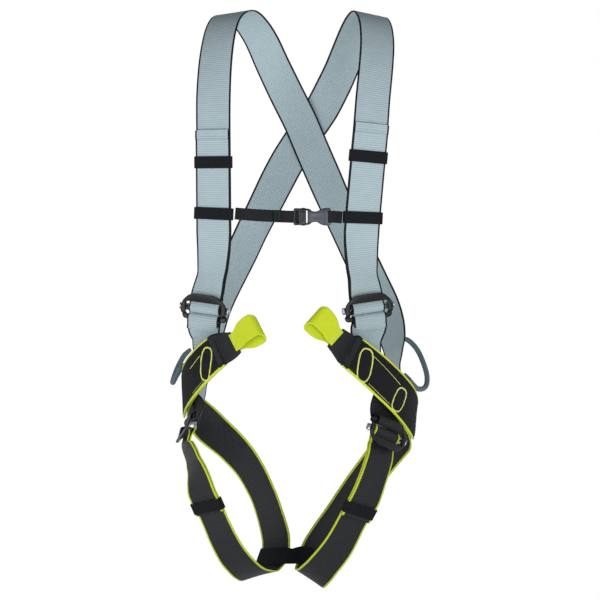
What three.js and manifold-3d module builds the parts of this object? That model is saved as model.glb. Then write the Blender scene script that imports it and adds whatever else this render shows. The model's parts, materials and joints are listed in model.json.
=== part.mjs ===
// Full-body climbing harness, empty and held in its worn shape.
// Millimetres. +Z is up, -Y is the front, -X is the wearer's right, z = 0 is the lowest webbing.
import * as THREE from "three";
import { TessellateModifier } from "three/addons/modifiers/TessellateModifier.js";
import { mergeVertices } from "three/addons/utils/BufferGeometryUtils.js";
import Module from "manifold-3d";

const wasm = await Module();
wasm.setup();

// Driving dimensions
const WEB = 45; // main webbing width
const PLY = 1.8; // webbing thickness
const GAP = 0.35; // clearance between pieces that touch in use
const LAYER = 2.9; // tail webbing ahead of its own strap, centre to centre
const STEP = 17; // longest step along a ribbon

const KEEPER = { height: 15, wall: 1.4, side: 0.7, depth: 1 };
const CHEST_LOOP = { height: 15, wall: 1.5, side: 1.3, depth: 1.1 };
const CHEST_WEB = { width: 15, ply: 1.5, turn: 2.35 };
// Side-release buckle: x of its two webbing bars, ends and prong windows, y, and half heights.
const RELEASE = {
  socketBar: -4.2,
  plugBar: 33.9,
  socket: [-8, 10],
  window: [1, 6.5],
  plug: [31, 37],
  y: -107,
  deep: 4.2,
  high: 11,
  hollow: 8.8,
};
const BAR_R = 3.3; // slide bar of a strap buckle
const BAR_OUT = 1.4; // slide bar ahead of the strap's own line
const FRAME = {
  width: 64,
  top: 17.5,
  shoulder: 5, // where the bowed upper edge leaves the sides
  window: 6.6, // upper end of the window
  bottom: -15,
  rail: 6,
  bar: 5.5,
  plate: 3.4,
  out: 5.8,
  arch: 4.6, // how far the bridge stands off the webbing
  drop: 5, // how far the anchor bar is set back behind the plate
};
const FINE = 9; // longest edge of a bent plate
const PAD = { width: 46, thick: 4.6 };
const NECK = { from: 42, to: 30, thick: 4.2 };
const TIE = { width: 29, length: 37, ply: 3.6, open: 9, seat: 4 };
const TUBE_R = 3.3;
const ELASTIC = { width: 26, thick: 1.6 };

const COLOURS = {
  grey: 0x9db1b8,
  black: 0x1b1d21,
  lime: 0xc3d62e,
  steel: 0x2a2b2e,
  plastic: 0x17181a,
  tube: 0x6f8790,
};

// Vector helpers
const V = (a) => new THREE.Vector3(a[0], a[1], a[2]);
const along = (p, d, s) => p.clone().addScaledVector(d, s);
const square = (w, t) => w.clone().addScaledVector(t, -w.dot(t)).normalize();

const harness = new THREE.Group();
harness.name = "climbing_harness";

function add(name, geometry, colour, roughness = 0.8, metalness = 0) {
  const material = new THREE.MeshStandardMaterial({ color: COLOURS[colour], roughness, metalness });
  const mesh = new THREE.Mesh(geometry, material);
  mesh.name = name;
  harness.add(mesh);
}

// A smooth path through stations of [x, y, z, width x, y, z].
function path(stations, step = STEP) {
  const points = stations.map(V);
  const widths = stations.map((s) => V(s.slice(3)).normalize());
  const curve = new THREE.CatmullRomCurve3(points, false, "centripetal");
  const last = points.length - 1;
  const made = [];
  for (let i = 0; i < last; i++) {
    const n = Math.max(1, Math.ceil(points[i].distanceTo(points[i + 1]) / step));
    for (let k = 0; k < n; k++) made.push([i, k / n]);
  }
  made.push([last - 1, 1]);
  return made.map(([i, f]) => {
    const c = curve.getPoint(Math.min(1, (i + f) / last));
    const t = curve.getTangent(Math.min(1, (i + f) / last));
    const w = square(widths[i].clone().lerp(widths[i + 1], f), t);
    return { c, t, w };
  });
}

// Outward normals: side is 1 where width x travel faces out, and -1 where it faces in.
const outward = (rows, side) =>
  rows.map((r) => ({ ...r, n: r.w.clone().cross(r.t).multiplyScalar(side) }));

const shift = (rows, out) => rows.map((r) => ({ ...r, c: along(r.c, r.n, out) }));

// A station on the inner side of a strap, where another webbing is sewn on across it.
function inside(rows, z, across, depth, flip = 1) {
  const r = rows.find((row) => row.c.z < z);
  const c = along(along(r.c, r.w, across), r.n, -depth);
  return [...c.toArray(), ...r.t.clone().multiplyScalar(flip).toArray()];
}

// A closed flat ribbon along rows of centre and width; wide may be a number or one number a row.
// A row that carries its own normal keeps it, so that layers of one strap stay parallel.
function ribbon(rows, wide = WEB, thick = PLY) {
  const positions = [];
  const index = [];
  rows.forEach((row, i) => {
    const a = rows[Math.max(0, i - 1)].c;
    const b = rows[Math.min(rows.length - 1, i + 1)].c;
    const t = b.clone().sub(a).normalize();
    const w = row.n ? row.w : square(row.w, t);
    const h = w.clone().cross(t);
    if (row.n) h.copy(h.dot(row.n) > 0 ? row.n : row.n.clone().negate());
    const half = (Array.isArray(wide) ? wide[i] : wide) / 2;
    for (const [u, v] of [[-1, -1], [1, -1], [1, 1], [-1, 1]]) {
      const p = row.c.clone().addScaledVector(w, u * half).addScaledVector(h, (v * thick) / 2);
      positions.push(p.x, p.y, p.z);
    }
  });
  for (let i = 0; i + 1 < rows.length; i++)
    for (let k = 0; k < 4; k++) {
      const [a, b] = [4 * i + k, 4 * i + ((k + 1) % 4)];
      // Both flat faces are split along the same diagonal, so that layers nest.
      if (k) index.push(a, a + 4, b, b, a + 4, b + 4);
      else index.push(a, a + 4, b + 4, a, b + 4, b);
    }
  const z = 4 * (rows.length - 1);
  index.push(0, 1, 2, 0, 2, 3, z, z + 2, z + 1, z, z + 3, z + 2);
  const g = new THREE.BufferGeometry();
  g.setAttribute("position", new THREE.Float32BufferAttribute(positions, 3));
  g.setIndex(index);
  return g;
}

// A geometry with only its positions, and each shared corner stored once
function welded(geometry) {
  const bare = new THREE.BufferGeometry();
  bare.setAttribute("position", geometry.getAttribute("position"));
  bare.setIndex(geometry.index);
  return mergeVertices(bare, 1e-4);
}

// Moves a geometry into a local frame: u across the webbing, v along it, n out of it.
function place(geometry, { o, u, v, n }) {
  const m = new THREE.Matrix4().makeBasis(u, v, n).setPosition(o);
  const g = welded(geometry).applyMatrix4(m);
  if (m.determinant() > 0) return g;
  const i = g.index.array;
  for (let k = 0; k < i.length; k += 3) [i[k + 1], i[k + 2]] = [i[k + 2], i[k + 1]];
  return g;
}

// Solids for joining and cutting, made from plain geometries
function solid(geometry) {
  const g = welded(geometry);
  const vertProperties = new Float32Array(g.attributes.position.array);
  const triVerts = new Uint32Array(g.index.array);
  return new wasm.Manifold(new wasm.Mesh({ numProp: 3, vertProperties, triVerts }));
}

function shell(made) {
  const mesh = made.getMesh();
  const g = new THREE.BufferGeometry();
  g.setAttribute("position", new THREE.BufferAttribute(new Float32Array(mesh.vertProperties), 3));
  g.setIndex(new THREE.BufferAttribute(new Uint32Array(mesh.triVerts), 1));
  return g;
}

function block(x, y, z) {
  const g = new THREE.BoxGeometry(x[1] - x[0], y[1] - y[0], z[1] - z[0]);
  return solid(g.translate((x[0] + x[1]) / 2, (y[0] + y[1]) / 2, (z[0] + z[1]) / 2));
}

function rodX(reach, r) {
  return solid(new THREE.CylinderGeometry(r, r, 2 * reach, 14).rotateZ(Math.PI / 2));
}

// A pin of the chest buckle, upright at x
function pinZ(x, y, z) {
  return solid(new THREE.CylinderGeometry(1.1, 1.1, 20, 10).rotateX(Math.PI / 2).translate(x, y, z));
}

function roundedRect(hw, hv, r, Shape = THREE.Shape, cv = 0) {
  const s = new Shape();
  s.moveTo(-hw + r, cv - hv);
  s.lineTo(hw - r, cv - hv);
  s.absarc(hw - r, cv - hv + r, r, -Math.PI / 2, 0, false);
  s.lineTo(hw, cv + hv - r);
  s.absarc(hw - r, cv + hv - r, r, 0, Math.PI / 2, false);
  s.lineTo(-hw + r, cv + hv);
  s.absarc(-hw + r, cv + hv - r, r, Math.PI / 2, Math.PI, false);
  s.lineTo(-hw, cv - hv + r);
  s.absarc(-hw + r, cv - hv + r, r, Math.PI, 1.5 * Math.PI, false);
  return s;
}

// A band round the layers between n = low and n = high of a strap, running along v.
function band(at, low, high, { height, wall, side, depth }, across = WEB) {
  const hw = across / 2 + side;
  const hn = (high - low) / 2 + depth;
  const shape = roundedRect(hw + wall, hn + wall, Math.min(3, hn + wall - 0.1), THREE.Shape, 0);
  shape.holes.push(roundedRect(hw, hn, Math.min(1.6, hn - 0.1), THREE.Path, 0));
  const g = new THREE.ExtrudeGeometry(shape, { depth: height, bevelEnabled: false, curveSegments: 3 });
  g.translate(0, 0, -height / 2);
  const o = along(at.o, at.n, (low + high) / 2);
  return place(g, { o, u: at.u, v: at.n, n: at.v });
}

// Strap buckle: at.o lies on the strap's own line, at.v runs along the adjustable webbing, away
// from the slide bar.
function buckleFrame(at) {
  const { width, top, shoulder, window: high, bottom, rail, bar, plate, out, arch, drop } = FRAME;
  const half = width / 2;
  const corner = 5;
  const crank = 5.5; // distance below the slide bar where the rails turn back
  const shape = new THREE.Shape();
  shape.moveTo(-half + corner, bottom);
  shape.lineTo(half - corner, bottom);
  shape.absarc(half - corner, bottom + corner, corner, -Math.PI / 2, 0, false);
  shape.lineTo(half, shoulder);
  shape.bezierCurveTo(half, top - 4, half * 0.45, top, 0, top);
  shape.bezierCurveTo(-half * 0.45, top, -half, top - 4, -half, shoulder);
  shape.lineTo(-half, bottom + corner);
  shape.absarc(-half + corner, bottom + corner, corner, Math.PI, 1.5 * Math.PI, false);
  const low = bottom + bar;
  shape.holes.push(roundedRect(half - rail, (high - low) / 2, 2, THREE.Path, (high + low) / 2));
  const flat = new THREE.ExtrudeGeometry(shape, {
    depth: plate, bevelEnabled: true, bevelThickness: 0.7, bevelSize: 0.7, bevelOffset: -0.7,
    bevelSegments: 1, curveSegments: 4,
  });
  // Short edges let the flat plate bend.
  const g = new TessellateModifier(FINE, 12).modify(flat);
  const p = g.attributes.position;
  for (let i = 0; i < p.count; i++) {
    const rise = Math.max(0, p.getY(i) - 4) / (top - 4);
    const middle = Math.max(0, 1 - (p.getX(i) / half) ** 2);
    const back = drop * THREE.MathUtils.smoothstep(-p.getY(i), crank, crank + 4);
    p.setZ(i, p.getZ(i) + out - back + arch * rise * (0.35 + 0.65 * middle));
  }
  return place(g, at);
}

function buckleSlider(at) {
  const reach = FRAME.width / 2 - 1.5;
  let bar = rodX(reach, BAR_R);
  for (const s of [-1, 1]) {
    const u = s > 0 ? [WEB / 2 + 1.2, reach] : [-reach, -WEB / 2 - 1.2];
    bar = bar.add(block(u, [-BAR_R, 8.5], [-2.6, 1.2]));
  }
  return place(shell(bar), { ...at, o: along(at.o, at.n, BAR_OUT) });
}

// Webbing of radius r round a bar at n = out, entered from the front and left at the back.
function wrap(at, out, r, from, to, steps) {
  const rows = [];
  for (let i = 0; i <= steps; i++) {
    const a = THREE.MathUtils.degToRad(from + ((to - from) * i) / steps);
    const c = along(along(at.o, at.n, out + r * Math.cos(a)), at.v, -r * Math.sin(a));
    rows.push({ c, w: at.u });
  }
  return rows;
}

const local = (at, v, n) => ({ c: along(along(at.o, at.v, v), at.n, n), w: at.u });

// Tail, wrap and strap as one list of rows. strap runs away from the buckle and carries normals.
function adjustable(at, strap, tailRows) {
  const r = BAR_R + GAP + PLY / 2;
  strap[0] = { ...strap[0], w: at.u, n: at.n };
  const tail = shift(strap.slice(0, tailRows), LAYER).reverse();
  return [
    ...tail,
    local(at, 8.5, LAYER + 0.3),
    ...wrap(at, BAR_OUT, r, -12, 192, 12),
    local(at, 9, -0.7),
    ...strap,
  ];
}

// Webbing sewn round the frame's far bar: front flap as [v, n] points, turn, then its own path.
function anchored(at, flap, rows) {
  const v = FRAME.bottom + FRAME.bar / 2;
  const n = FRAME.out + FRAME.plate / 2 - FRAME.drop;
  const r = FRAME.bar / 2 + 0.75 + PLY / 2;
  const turn = [];
  for (let i = 0; i <= 10; i++) {
    const a = THREE.MathUtils.degToRad(200 * (i / 10));
    turn.push(local(at, v + r * Math.sin(a), n + r * Math.cos(a)));
  }
  return [...flap.map(([fv, fn]) => local(at, fv, fn)), ...turn, ...rows];
}

const frameAt = (o, u, v, n) => {
  const vv = V(v).normalize();
  const uu = square(V(u), vv);
  return { o: V(o), u: uu, v: vv, n: uu.clone().cross(vv).multiplyScalar(n) };
};

// ---------------------------------------------------------------- buckle positions

const buckles = {
  right_shoulder: frameAt([-117, -75, 357.5], [86, -46, -22], [10, -6, 100], 1),
  left_shoulder: frameAt([83.5, -75, 358.5], [92, 38, 6], [-12, -6, 100], 1),
  right_leg: frameAt([-137.5, -56, 205], [-20, 95, -22], [-24, -25, -93], 1),
  left_leg: frameAt([105.5, -66.8, 200.5], [68, 67, -30], [-30, -15, -94], -1),
};

const start = (at, v) => [...along(at.o, at.v, v).toArray(), ...at.u.toArray()];

// ---------------------------------------------------------------- paths of the leg loops

const RIGHT_LEG = [
  [-97.5, -111.5, 306.5, 42, -56, -68],
  [-108, -104, 298, 42, -52, -74],
  [-119, -91.5, 288, 40, -49, -78],
  [-129, -76, 277, 36, -48, -80],
  [-136, -58, 267, 28, -46, -84],
  [-141, -34, 256, 15, -42, -90],
  [-143, -8, 245, 3, -36, -94],
  [-139.5, 19, 234, -12, -30, -95],
  [-128.5, 46, 219, -32, -12, -92],
  [-111, 68, 200, -56, 18, -74],
  [-88.5, 83, 179, -62, 36, -62],
  [-67, 89, 153, -62, 50, -52],
  [-49.5, 81, 121, -62, 58, -46],
  [-37.5, 62, 88, -68, 60, -34],
  [-31, 40, 60, -74, 62, -16],
  [-33, 20, 41, -78, 60, -10],
  [-38.5, 5, 29.5, -80, 58, -12],
  [-47, -11, 22, -82, 55, -16],
  [-56, -29, 20.5, -66, 66, -34],
  [-64.5, -43, 25, -64, 66, -42],
  [-73, -54, 33.5, -68, 60, -42],
  [-81.5, -63, 44, -72, 57, -40],
  [-90, -71, 58, -72, 60, -35],
  [-97.5, -77, 73, -71, 62, -31],
  [-104, -81, 88, -70, 65, -29],
  [-110.5, -84.2, 103, -70, 65, -29],
  [-117, -87.4, 118, -70, 65, -29],
  [-121.3, -89.5, 128, -70, 65, -29],
  [-125.5, -87.5, 144, -60, 74, -28],
  [-131, -79, 162, -38, 90, -22],
  [-136.5, -68.5, 178, -26, 93, -25],
  start(buckles.right_leg, 17),
];

const LEFT_LEG = [
  [59.5, -117.5, 305.5, -54, -50, -67],
  [69, -113, 298, -56, -46, -69],
  [80, -106, 289, -59, -43, -69],
  [92, -96.5, 279, -60, -40, -70],
  [105, -84.5, 267, -60, -40, -70],
  [118, -69, 254, -54, -43, -73],
  [130, -50, 240, -44, -42, -79],
  [138, -26, 226, -28, -38, -88],
  [141, 2, 213, -8, -34, -94],
  [136, 32, 203, 22, -22, -95],
  [124, 58, 188, 56, 2, -76],
  [109, 74, 169, 68, 16, -66],
  [93, 83, 148, 72, 22, -62],
  [76, 86, 126, 71, 32, -58],
  [62, 81, 107, 70, 42, -54],
  [43, 66, 81, 70, 57, -40],
  [26, 42, 56, 73, 63, -22],
  [18, 22, 40, 74, 63, -16],
  [14, 5, 26, 73, 60, -26],
  [11.5, -12, 17.5, 71, 54, -46],
  [14, -30, 17.5, 68, 50, -54],
  [21, -45, 24.5, 68, 48, -56],
  [33, -58, 39, 72, 49, -50],
  [44, -68, 53.5, 75, 50, -44],
  [53, -75.5, 68.5, 76, 54, -36],
  [60.5, -80.5, 83, 76, 57, -31],
  [67.6, -83.6, 96.5, 76, 57, -31],
  [74.7, -86.7, 110, 76, 57, -31],
  [80.5, -89.2, 121, 76, 57, -31],
  [90, -88.5, 146, 71, 64, -29],
  [97.5, -80, 169, 68, 67, -30],
  start(buckles.left_leg, 17),
];

const legs = {
  right: outward(path(RIGHT_LEG), -1),
  left: outward(path(LEFT_LEG), 1),
};

// ---------------------------------------------------------------- shoulder straps

const RIGHT_STRAP = [
  start(buckles.right_shoulder, 17),
  [-109.5, -79.5, 398, 77, -60, -12],
  [-107, -86.2, 432, 90, -40, -4],
  [-107, -89.5, 452, 96, -28, 0],
  [-107.3, -91, 495, 96, -28, 0],
  [-107.7, -93, 550, 96, -28, 0],
  [-108, -94, 580, 96, -28, 0],
  [-108, -89, 622, 97, -26, 0],
  [-106, -77, 663, 95, -32, 4],
  [-102, -60, 696, 92, -37, 7],
  [-96, -38, 719, 92, -36, 10],
  [-87, -10, 731, 96, -22, 13],
  [-75, 18, 732, 96, -22, 14],
  [-63, 42, 722, 95, -26, 16],
  [-50, 63, 703, 92, -28, 22],
  [-35, 81, 671, 92, -20, 30],
  [-18, 95, 636, 93, -6, 36],
  [0, 100.5, 600, 93, 0, 36],
  [14, 100.5, 567, 93, 0, 36],
  [30, 100, 530, 91, -4, 38],
  [43, 97, 500, 88, -22, 36],
  [60, 92, 462, 88, -32, 34],
  [77, 84, 425, 89, -34, 31],
  [93, 72, 391, 88, -38, 29],
  [107, 54, 361, 84, -48, 24],
  [115, 33, 337, 74, -62, 18],
  [120, 12, 316, 58, -80, 12],
  [122, -6, 297, 38, -92, 12],
  [123.5, -14, 280, 14, -97, 18],
  [127, -19, 262, 0, -97, 24],
  [131, -21, 246, -10, -93, 35],
  [133, -22, 234, -15, -90, 40],
];

const LEFT_STRAP = [
  start(buckles.left_shoulder, 17),
  [77.5, -80, 398, 80, 58, 7],
  [76, -86, 432, 92, 36, 2],
  [76.5, -89, 452, 98, 20, 0],
  [80, -90.6, 495, 98, 20, 0],
  [85, -92.7, 550, 98, 20, 0],
  [88.5, -94.1, 588, 98, 20, 0],
  [91, -89, 620, 97, 24, 0],
  [95, -77, 660, 96, 26, -4],
  [97, -60, 692, 95, 28, -7],
  [95, -38, 717, 93, 32, -12],
  [89, -11, 730, 94, 28, -18],
  [82, 16, 727, 93, 26, -22],
  [74, 40, 714, 90, 28, -30],
  [64, 62, 692, 88, 32, -33],
  [53, 80, 665, 86, 26, -40],
  [40, 95, 638, 86, 8, -48],
  [27, 102.8, 614, 86, 0, -50],
  [12, 103.1, 592, 86, 0, -50],
  [-1, 103.1, 572, 86, 0, -50],
  [-15, 103.1, 550, 87, 0, -49],
  [-28, 102, 526, 87, 8, -46],
  [-40, 99, 502, 84, 24, -44],
  [-51, 95, 480, 83, 36, -40],
  [-63, 90, 456, 83, 40, -38],
  [-74, 84, 432, 83, 41, -38],
  [-86, 77, 408, 83, 41, -38],
  [-97, 70, 386, 84, 42, -36],
  [-107, 62, 363, 84, 44, -32],
  [-114, 54, 341, 86, 46, -20],
  [-118, 48, 320, 78, 60, -14],
  [-121.5, 42, 300, 64, 74, -16],
  [-125.5, 35.5, 282, 50, 82, -22],
  [-129, 30.5, 266, 42, 84, -30],
  [-130.5, 27, 253, 40, 84, -33],
];

const straps = {
  right: outward(path(RIGHT_STRAP), 1),
  left: outward(path(LEFT_STRAP), 1),
};
// Rows of a shoulder strap from its buckle up to the height where its tail ends.
const tailRows = (rows, z) => rows.findIndex((r, i) => i > 0 && r.c.z > z - 1) + 1;

for (const [side, height] of [["right", 580], ["left", 588]]) {
  const at = buckles[`${side}_shoulder`];
  const rows = adjustable(at, straps[side], tailRows(straps[side], height));
  add(`${side}_shoulder_strap`, ribbon(rows), "grey");
  add(`${side}_shoulder_buckle_frame`, buckleFrame(at), "steel", 0.35, 0.7);
  add(`${side}_shoulder_buckle_slider`, buckleSlider(at), "steel", 0.35, 0.7);
}

// A frame on the straight front run of a strap at height z.
function onStrap(rows, z) {
  const i = rows.findIndex((r) => r.c.z > z);
  const [a, b] = [rows[i - 1], rows[i]];
  const f = (z - a.c.z) / (b.c.z - a.c.z);
  const v = b.c.clone().sub(a.c).normalize();
  const u = square(a.w, v);
  return { o: a.c.clone().lerp(b.c, f), u, v, n: u.clone().cross(v) };
}

const FRONT = [-PLY / 2, LAYER + PLY / 2];
const strapKeepers = { right: onStrap(straps.right, 540), left: onStrap(straps.left, 547) };
for (const side of ["right", "left"])
  add(`${side}_strap_keeper`, band(strapKeepers[side], ...FRONT, KEEPER), "black", 0.9);

// ---------------------------------------------------------------- chest strap

const CHEST = { right: 476, buckle: 471.8, left: 471 };
const chestAt = { right: onStrap(straps.right, CHEST.right), left: onStrap(straps.left, CHEST.left) };
// The loops stand level and square to the strap's travel up and down.
for (const side of ["right", "left"]) {
  const at = chestAt[side];
  const v = V([4, -3, 100]).normalize();
  const u = square(at.u, v);
  chestAt[side] = { o: at.o, u, v, n: u.clone().cross(v) };
  add(`chest_loop_${side}`, band(chestAt[side], ...FRONT, CHEST_LOOP), "black", 0.9);
}

const UP = [0, 0, 100];

function chestRibbon(points) {
  return ribbon(path(points.map((p) => [...p, ...UP]), 9), CHEST_WEB.width, CHEST_WEB.ply);
}

// Points of the webbing's turn round a buckle bar, swept through 200 degrees from a first angle.
function barTurn(x, first, sweep) {
  return Array.from({ length: 9 }, (_, i) => {
    const a = THREE.MathUtils.degToRad(first + (sweep * i) / 8);
    const r = CHEST_WEB.turn;
    return [x + r * Math.cos(a), RELEASE.y + r * Math.sin(a), CHEST.buckle];
  });
}

// Right half: from the strap loop to the socket's bar, round it and back as a short tail.
function chestRight(z) {
  const out = [
    [-80.6, -99.4, CHEST.right],
    [-70, -103, 475],
    [-48, -105.5, 473.4],
    [-24, -106, 472.4],
    [-12, -105.2, z],
  ];
  const back = [[-12, -109.3, z], [-20, -108.9, z + 0.2], [-33, -108.2, z + 0.7]];
  return chestRibbon([...out, ...barTurn(RELEASE.socketBar, 100, -200), ...back]);
}

// Left half: from the strap loop to the plug's bar, round it and back to its stitching.
function chestLeft(z) {
  const out = [[52.2, -99.2, CHEST.left], [48, -101.5, z - 0.4], [41, -104, z]];
  const back = [[38.5, -109.2, z], [45, -107, z - 0.2]];
  return chestRibbon([...out, ...barTurn(RELEASE.plugBar, 80, 200), ...back]);
}

// A box open at its plug end, cut away above and below for the prongs.
function socket(z) {
  const { y, deep, high, hollow, window } = RELEASE;
  const [x0, x1] = RELEASE.socket;
  const through = [y - deep - 0.8, y + deep + 0.8];
  return block([x0, x1], [y - deep, y + deep], [z - high, z + high])
    .subtract(block([-1, x1 + 1], [y - 2.4, y + 2.4], [z - hollow, z + hollow]))
    .subtract(block(window, through, [z + hollow - 1.2, z + high + 1]))
    .subtract(block(window, through, [z - high - 1, z - hollow + 1.2]))
    .subtract(block([x0 - 1, -0.5], through, [z - 8.2, z + 8.2])) // room for the webbing
    .add(pinZ(RELEASE.socketBar, y, z));
}

// Waisted body, centre tongue and a bar for the webbing between two ears.
function plug(z) {
  const { y } = RELEASE;
  const outline = new THREE.Shape();
  const edge = [[12.2, 6.6], [17, 6.2], [20, 8], [24, 10.2], [31.6, 10.8]];
  outline.setFromPoints([
    ...edge.map(([a, b]) => new THREE.Vector2(a, -b)),
    ...edge.map(([a, b]) => new THREE.Vector2(a, b)).reverse(),
  ]);
  const plate = new THREE.ExtrudeGeometry(outline, { depth: 6.4, bevelEnabled: false });
  plate.translate(0, 0, -3.2).rotateX(Math.PI / 2).translate(0, y, z);
  const ear = [y - 3, y + 3];
  return solid(plate)
    .add(block([0.4, 13], [y - 1.9, y + 1.9], [z - 2.2, z + 2.2]))
    .add(block(RELEASE.plug, ear, [z + 8.4, z + 10.8]))
    .add(block(RELEASE.plug, ear, [z - 10.8, z - 8.4]))
    .subtract(block([29.4, 40], [y - 6, y + 6], [z - 8.2, z + 8.2]))
    .add(pinZ(RELEASE.plugBar, y, z));
}

// Spring prong, hinged on the plug body; side is 1 for the upper one.
function prong(z, side) {
  const root = [[11.8, 4.2], [11.8, 6.2]];
  const tab = [[6.6, 6.9], [6.2, 8.3], [1.4, 8.3]];
  const tip = [[0.6, 6.2], [1.2, 4.6], [6.4, 4.6]];
  const corners = [...root, ...tab, ...tip];
  const shape = new THREE.Shape(corners.map(([a, b]) => new THREE.Vector2(a, side * b)));
  const g = new THREE.ExtrudeGeometry(shape, { depth: 3.8, bevelEnabled: false });
  return g.translate(0, 0, -1.9).rotateX(Math.PI / 2).translate(0, RELEASE.y, z);
}

add("chest_webbing_right", chestRight(CHEST.buckle), "black", 0.85);
add("chest_webbing_left", chestLeft(CHEST.buckle), "black", 0.85);
add("chest_buckle_socket", shell(socket(CHEST.buckle)), "plastic", 0.45);
add("chest_buckle_plug", shell(plug(CHEST.buckle)), "plastic", 0.45);
add("chest_buckle_prong_upper", prong(CHEST.buckle, 1), "plastic", 0.45);
add("chest_buckle_prong_lower", prong(CHEST.buckle, -1), "plastic", 0.45);

// ---------------------------------------------------------------- leg loops and hip pads

for (const [side, keeperZ] of [["right", 112], ["left", 107]]) {
  const at = buckles[`${side}_leg`];
  const rows = legs[side];
  const up = [...rows].reverse();
  // The front run counted from the buckle; the tail ends just below its keeper.
  const tail = up.findIndex((r) => r.c.z < keeperZ - 17);
  add(`${side}_leg_strap`, ribbon(adjustable(at, up, tail).reverse()), "black");
  add(`${side}_leg_buckle_frame`, buckleFrame(at), "steel", 0.35, 0.7);
  add(`${side}_leg_buckle_slider`, buckleSlider(at), "steel", 0.35, 0.7);
  const i = up.findIndex((r) => r.c.z < keeperZ);
  const [a, b] = [up[i - 1], up[i]];
  const v = b.c.clone().sub(a.c).normalize();
  const u = square(a.w, v);
  const f = (a.c.z - keeperZ) / (a.c.z - b.c.z);
  const k = { o: a.c.clone().lerp(b.c, f), u, v, n: a.n.clone() };
  k.n = square(square(k.n, v), u);
  add(`${side}_leg_keeper`, band(k, ...FRONT, KEEPER), "black", 0.9);
}

// Hip pads lie on the outside of the leg webbing from its front end to the hip.
const padRows = {
  right: legs.right.filter((r) => r.c.z > 236),
  left: legs.left.filter((r) => r.c.z > 211),
};
for (const side of ["right", "left"]) {
  const rows = padRows[side].filter((r) => r.c.y < 8);
  const out = shift(rows, PLY / 2 + 2 * GAP + PAD.thick / 2);
  add(`${side}_hip_pad`, ribbon(out, PAD.width, PAD.thick), "black", 0.9);
}

// Neck webbing and tie-in loops at the front ends.
const NECKS = {
  right: [
    [-94, -116, 308.5, 42, -54, -68],
    [-86, -121.5, 312, 47, -42, -66],
    [-80, -124.5, 316, 50, -30, -62],
  ],
  left: [
    [57.5, -119.3, 307.5, -54, -50, -67],
    [49.5, -126, 316, -52, -36, -72],
    [43.5, -128, 322, -56, -20, -80],
  ],
};

for (const side of ["right", "left"]) {
  const neck = path(NECKS[side], 6);
  const wide = neck.map((_, i) => NECK.from + ((NECK.to - NECK.from) * i) / (neck.length - 1));
  add(`${side}_neck_webbing`, ribbon(neck, wide, NECK.thick), "black");

  // A flattened loop of doubled webbing, extruded across its width.
  const end = neck[neck.length - 1];
  const v = end.t;
  const u = end.w;
  const n = u.clone().cross(v);
  const hinge = along(end.c, v, NECK.thick / 2 + 0.8);
  const { length, width, ply, open, seat } = TIE;
  const tip = length - open / 2 - ply;
  const outer = new THREE.Shape();
  outer.absarc(0, 0, NECK.thick / 2, Math.PI / 2, 1.5 * Math.PI, false);
  outer.lineTo(tip * 0.45, -open / 2 - ply + 1.2);
  outer.lineTo(tip * 0.7, -open / 2 - ply);
  outer.absarc(tip, 0, open / 2 + ply, -Math.PI / 2, Math.PI / 2, false);
  outer.lineTo(tip * 0.7, open / 2 + ply);
  outer.lineTo(tip * 0.45, open / 2 + ply - 1.2);
  outer.closePath();
  const inner = new THREE.Path();
  inner.moveTo(4.5, 0);
  inner.lineTo(tip * 0.45, -open / 2 + 0.8);
  inner.lineTo(tip * 0.7, -open / 2);
  inner.lineTo(tip, -open / 2);
  inner.lineTo(tip + (open - seat) / 2, -seat / 2); // flat seat for what hangs on the loop
  inner.lineTo(tip + (open - seat) / 2, seat / 2);
  inner.lineTo(tip, open / 2);
  inner.lineTo(tip * 0.7, open / 2);
  inner.lineTo(tip * 0.45, open / 2 - 0.8);
  inner.closePath();
  outer.holes.push(inner);
  const g = new THREE.ExtrudeGeometry(outer, { depth: width, bevelEnabled: false, curveSegments: 6 });
  g.translate(0, 0, -width / 2);
  add(`${side}_tie_in_loop`, place(g, { o: hinge, u: v, v: n, n: u }), "lime");
}

// Risers from the shoulder buckles down to the inside of the hip pads.
const RISERS = {
  right: [
    [-118, -80, 326, 74, -53, 8],
    inside(legs.right, 290, -16, 6, -1),
    inside(legs.right, 290, 8, 5, -1),
  ],
  left: [
    [82.5, -84, 324, 83, 40, -19],
    inside(legs.left, 290, -16, 6, 1),
    inside(legs.left, 290, 8, 6, 1),
  ],
};
for (const side of ["right", "left"]) {
  const at = buckles[`${side}_shoulder`];
  const first = [...local(at, -22, 1.2).c.toArray(), ...at.u.toArray()];
  const flap = [[-27, 5.2], [-22, 5.4], [-17, 6.4]];
  const rows = anchored(at, flap, path([first, ...RISERS[side]], 12));
  add(`${side}_hip_riser`, ribbon(rows), "grey");
}

// Short webbings that hold the leg buckles to the inside of the pads.
const ANCHORS = {
  right: [inside(legs.right, 259, 15, 7), inside(legs.right, 259, -3, 6.5)],
  left: [inside(legs.left, 256, 15, 8.5), inside(legs.left, 256, 0, 6.5)],
};
for (const side of ["right", "left"]) {
  const at = buckles[`${side}_leg`];
  const flap = [[-19.5, 0.8], [-18.5, 4.2], [-16, 6.2]];
  const back = [local(at, -17.5, -3.4), local(at, -21, -7), ...path(ANCHORS[side], 12)];
  const rows = anchored(at, flap, back);
  add(`${side}_leg_anchor`, ribbon(rows), "black");
}

// ---------------------------------------------------------------- gear loops

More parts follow.
